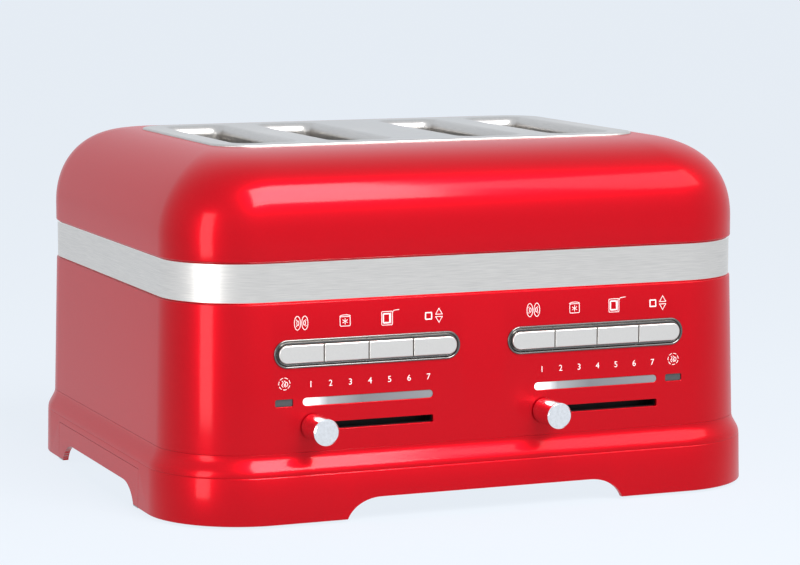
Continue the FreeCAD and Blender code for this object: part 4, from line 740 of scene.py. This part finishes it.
finishes = {
    "satinPlate": ["top_plate"],
    "satinButton": [f"{kind}_button_{side}" for kind in ("bagel", "defrost", "sandwich", "lift")
                    for side in ("left", "right")],
    "smokedLamp": ["warm_lamp_left", "warm_lamp_right"],
    "knobMetal": ["shade_knob_left", "shade_knob_right"],
    "blackPlastic": ["shade_track_left", "shade_track_right", "shade_slider_left", "shade_slider_right",
                     "cord_inlet", "button_switches"],
    "circuitBoard": ["control_board", "power_board"],
    "rubber": ["rubber_feet"],
    "shadedSheetSteel": ["bottom_pan", "oven_plate_front", "oven_plate_rear", "side_reflector_left",
                   "side_reflector_right", "centre_partition", "motor_brackets", "rod_holders",
                   "crumb_tray_left", "crumb_tray_right"],
    "screwSteel": ["pan_screws", "lift_guide_rods"],
    "mica": ["heater_cards_left", "heater_cards_right"],
    "heaterWire": ["heater_ribbons_left", "heater_ribbons_right"],
    "shadedChromeWire": ["bread_guides_left_a", "bread_guides_left_b", "bread_guides_right_a", "bread_guides_right_b",
                   "bread_racks_left", "bread_racks_right"],
    "carriageSteel": ["lift_carriage_left", "lift_carriage_right"],
    "brassGear": ["lift_pinion_left", "lift_pinion_right"],
    "motorCase": ["lift_motor_left", "lift_motor_right"],
}
for material, names in finishes.items():
    for name in names:
        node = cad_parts[name]
        node.data.materials.clear()
        node.data.materials.append(materials[material])
for side in ("left", "right"):
    low, high = boxOf(f"light_bar_{side}")
    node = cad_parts[f"light_bar_{side}"]
    node.data.materials.clear()
    node.data.materials.append(lightGuide(side, low[0], high[0]))
print("stage: finishes")

pale = (0.838, 0.896, 0.965, 1.0)
floorLook = {"reach": 40.0, "paint": (0.80, 0.83, 0.87, 1), "glowShare": 0.93}
worldLook = {"fill": (0.9, 0.94, 1.0, 1), "strength": 0.15}


def seenDirectly(nodes, links):
    # 1 for camera, glossy and transmission rays and 0 for the rest: the larger of the three flags.
    path = nodes.new("ShaderNodeLightPath")
    first = nodes.new("ShaderNodeMath")
    first.operation = "MAXIMUM"
    links.new(path.outputs["Is Camera Ray"], first.inputs[0])
    links.new(path.outputs["Is Glossy Ray"], first.inputs[1])
    second = nodes.new("ShaderNodeMath")
    second.operation = "MAXIMUM"
    links.new(first.outputs[0], second.inputs[0])
    links.new(path.outputs["Is Transmission Ray"], second.inputs[1])
    return second.outputs[0]


def paleStage():
    # A floor that keeps a soft shadow and otherwise shows the background's pale colour.
    reach = floorLook["reach"]
    floor = meshPiece("floor", [(-reach, -reach, 0), (reach, -reach, 0), (reach, reach, 0), (-reach, reach, 0)],
                      [[0, 1, 2, 3]], smooth=False)
    made = bpy.data.materials.new("floorPaint")
    made.use_nodes = True
    nodes, links = made.node_tree.nodes, made.node_tree.links
    nodes.clear()
    out = nodes.new("ShaderNodeOutputMaterial")
    mix = nodes.new("ShaderNodeMixShader")
    plain = nodes.new("ShaderNodeBsdfDiffuse")
    plain.inputs["Color"].default_value = floorLook["paint"]
    glow = nodes.new("ShaderNodeEmission")
    glow.inputs["Color"].default_value = pale
    part = nodes.new("ShaderNodeMath")
    part.operation = "MULTIPLY"
    part.inputs[1].default_value = floorLook["glowShare"]
    links.new(seenDirectly(nodes, links), part.inputs[0])
    links.new(part.outputs[0], mix.inputs["Fac"])
    links.new(plain.outputs[0], mix.inputs[1])
    links.new(glow.outputs[0], mix.inputs[2])
    links.new(mix.outputs[0], out.inputs["Surface"])
    floor.data.materials.append(made)


def paleWorld():
    world = bpy.data.worlds.new("studio")
    bpy.context.scene.world = world
    world.use_nodes = True
    nodes, links = world.node_tree.nodes, world.node_tree.links
    nodes.clear()
    out = nodes.new("ShaderNodeOutputWorld")
    mix = nodes.new("ShaderNodeMixShader")
    seen = nodes.new("ShaderNodeBackground")
    seen.inputs["Color"].default_value = pale
    fill = nodes.new("ShaderNodeBackground")
    fill.inputs["Color"].default_value = worldLook["fill"]
    fill.inputs["Strength"].default_value = worldLook["strength"]
    links.new(seenDirectly(nodes, links), mix.inputs["Fac"])
    links.new(fill.outputs[0], mix.inputs[1])
    links.new(seen.outputs[0], mix.inputs[2])
    links.new(mix.outputs[0], out.inputs["Surface"])


lamps = {
    "topKey": {"place": (0.10, -0.95, 1.00), "aim": (-0.02, -0.14, 0.17), "size": (0.66, 0.78), "power": 25},
    "topKeyRight": {"place": (0.86, -0.86, 1.02), "aim": (0.02, -0.14, 0.17), "size": (0.80, 0.66), "power": 6},
    "cornerStrip": {"place": (-0.64, -0.37, 0.19), "aim": (-0.166, -0.142, 0.12), "size": (0.17, 0.37), "power": 1.0},
    "leftWash": {"place": (-1.5, 0.25, 0.75), "aim": (-0.18, 0, 0.12), "size": (0.9, 0.8), "power": 8,
                 "glossy": False},
}


def softbox(name, look):
    lamp = bpy.data.lights.new(name, "AREA")
    lamp.shape = "RECTANGLE"
    lamp.size, lamp.size_y = look["size"]
    lamp.energy = look["power"]
    holder = bpy.data.objects.new(name, lamp)
    holder.location = look["place"]
    holder.rotation_mode = "QUATERNION"
    holder.rotation_quaternion = (Vector(look["aim"]) - Vector(look["place"])).to_track_quat("-Z", "Y")
    holder.visible_camera = False
    holder.visible_glossy = look.get("glossy", True)
    bpy.context.scene.collection.objects.link(holder)


cameraLook = {"azimuth": -22.1616, "elevation": 7.289, "place": (-0.67726, -1.68834, 0.34782), "lens": 130.97,
              "sensor": 36.0, "far": 50.0}


def makeCamera():
    # Looks back along the direction given by a turn about Z and a tilt above the floor, both in degrees.
    look = cameraLook
    data = bpy.data.cameras.new("view")
    data.lens = look["lens"]
    data.sensor_width = look["sensor"]
    data.clip_end = look["far"]
    camera = bpy.data.objects.new("view", data)
    turn, tilt = math.radians(look["azimuth"]), math.radians(look["elevation"])
    back = Vector((math.sin(turn) * math.cos(tilt), -math.cos(turn) * math.cos(tilt), math.sin(tilt)))
    camera.location = look["place"]
    camera.rotation_mode = "QUATERNION"
    camera.rotation_quaternion = (-back).to_track_quat("-Z", "Y")
    bpy.context.scene.collection.objects.link(camera)
    bpy.context.scene.camera = camera


paleStage()
paleWorld()
for name, look in lamps.items():
    softbox(name, look)
makeCamera()
scene = bpy.context.scene
scene.view_settings.view_transform = "Standard"
print("stage: light and camera")
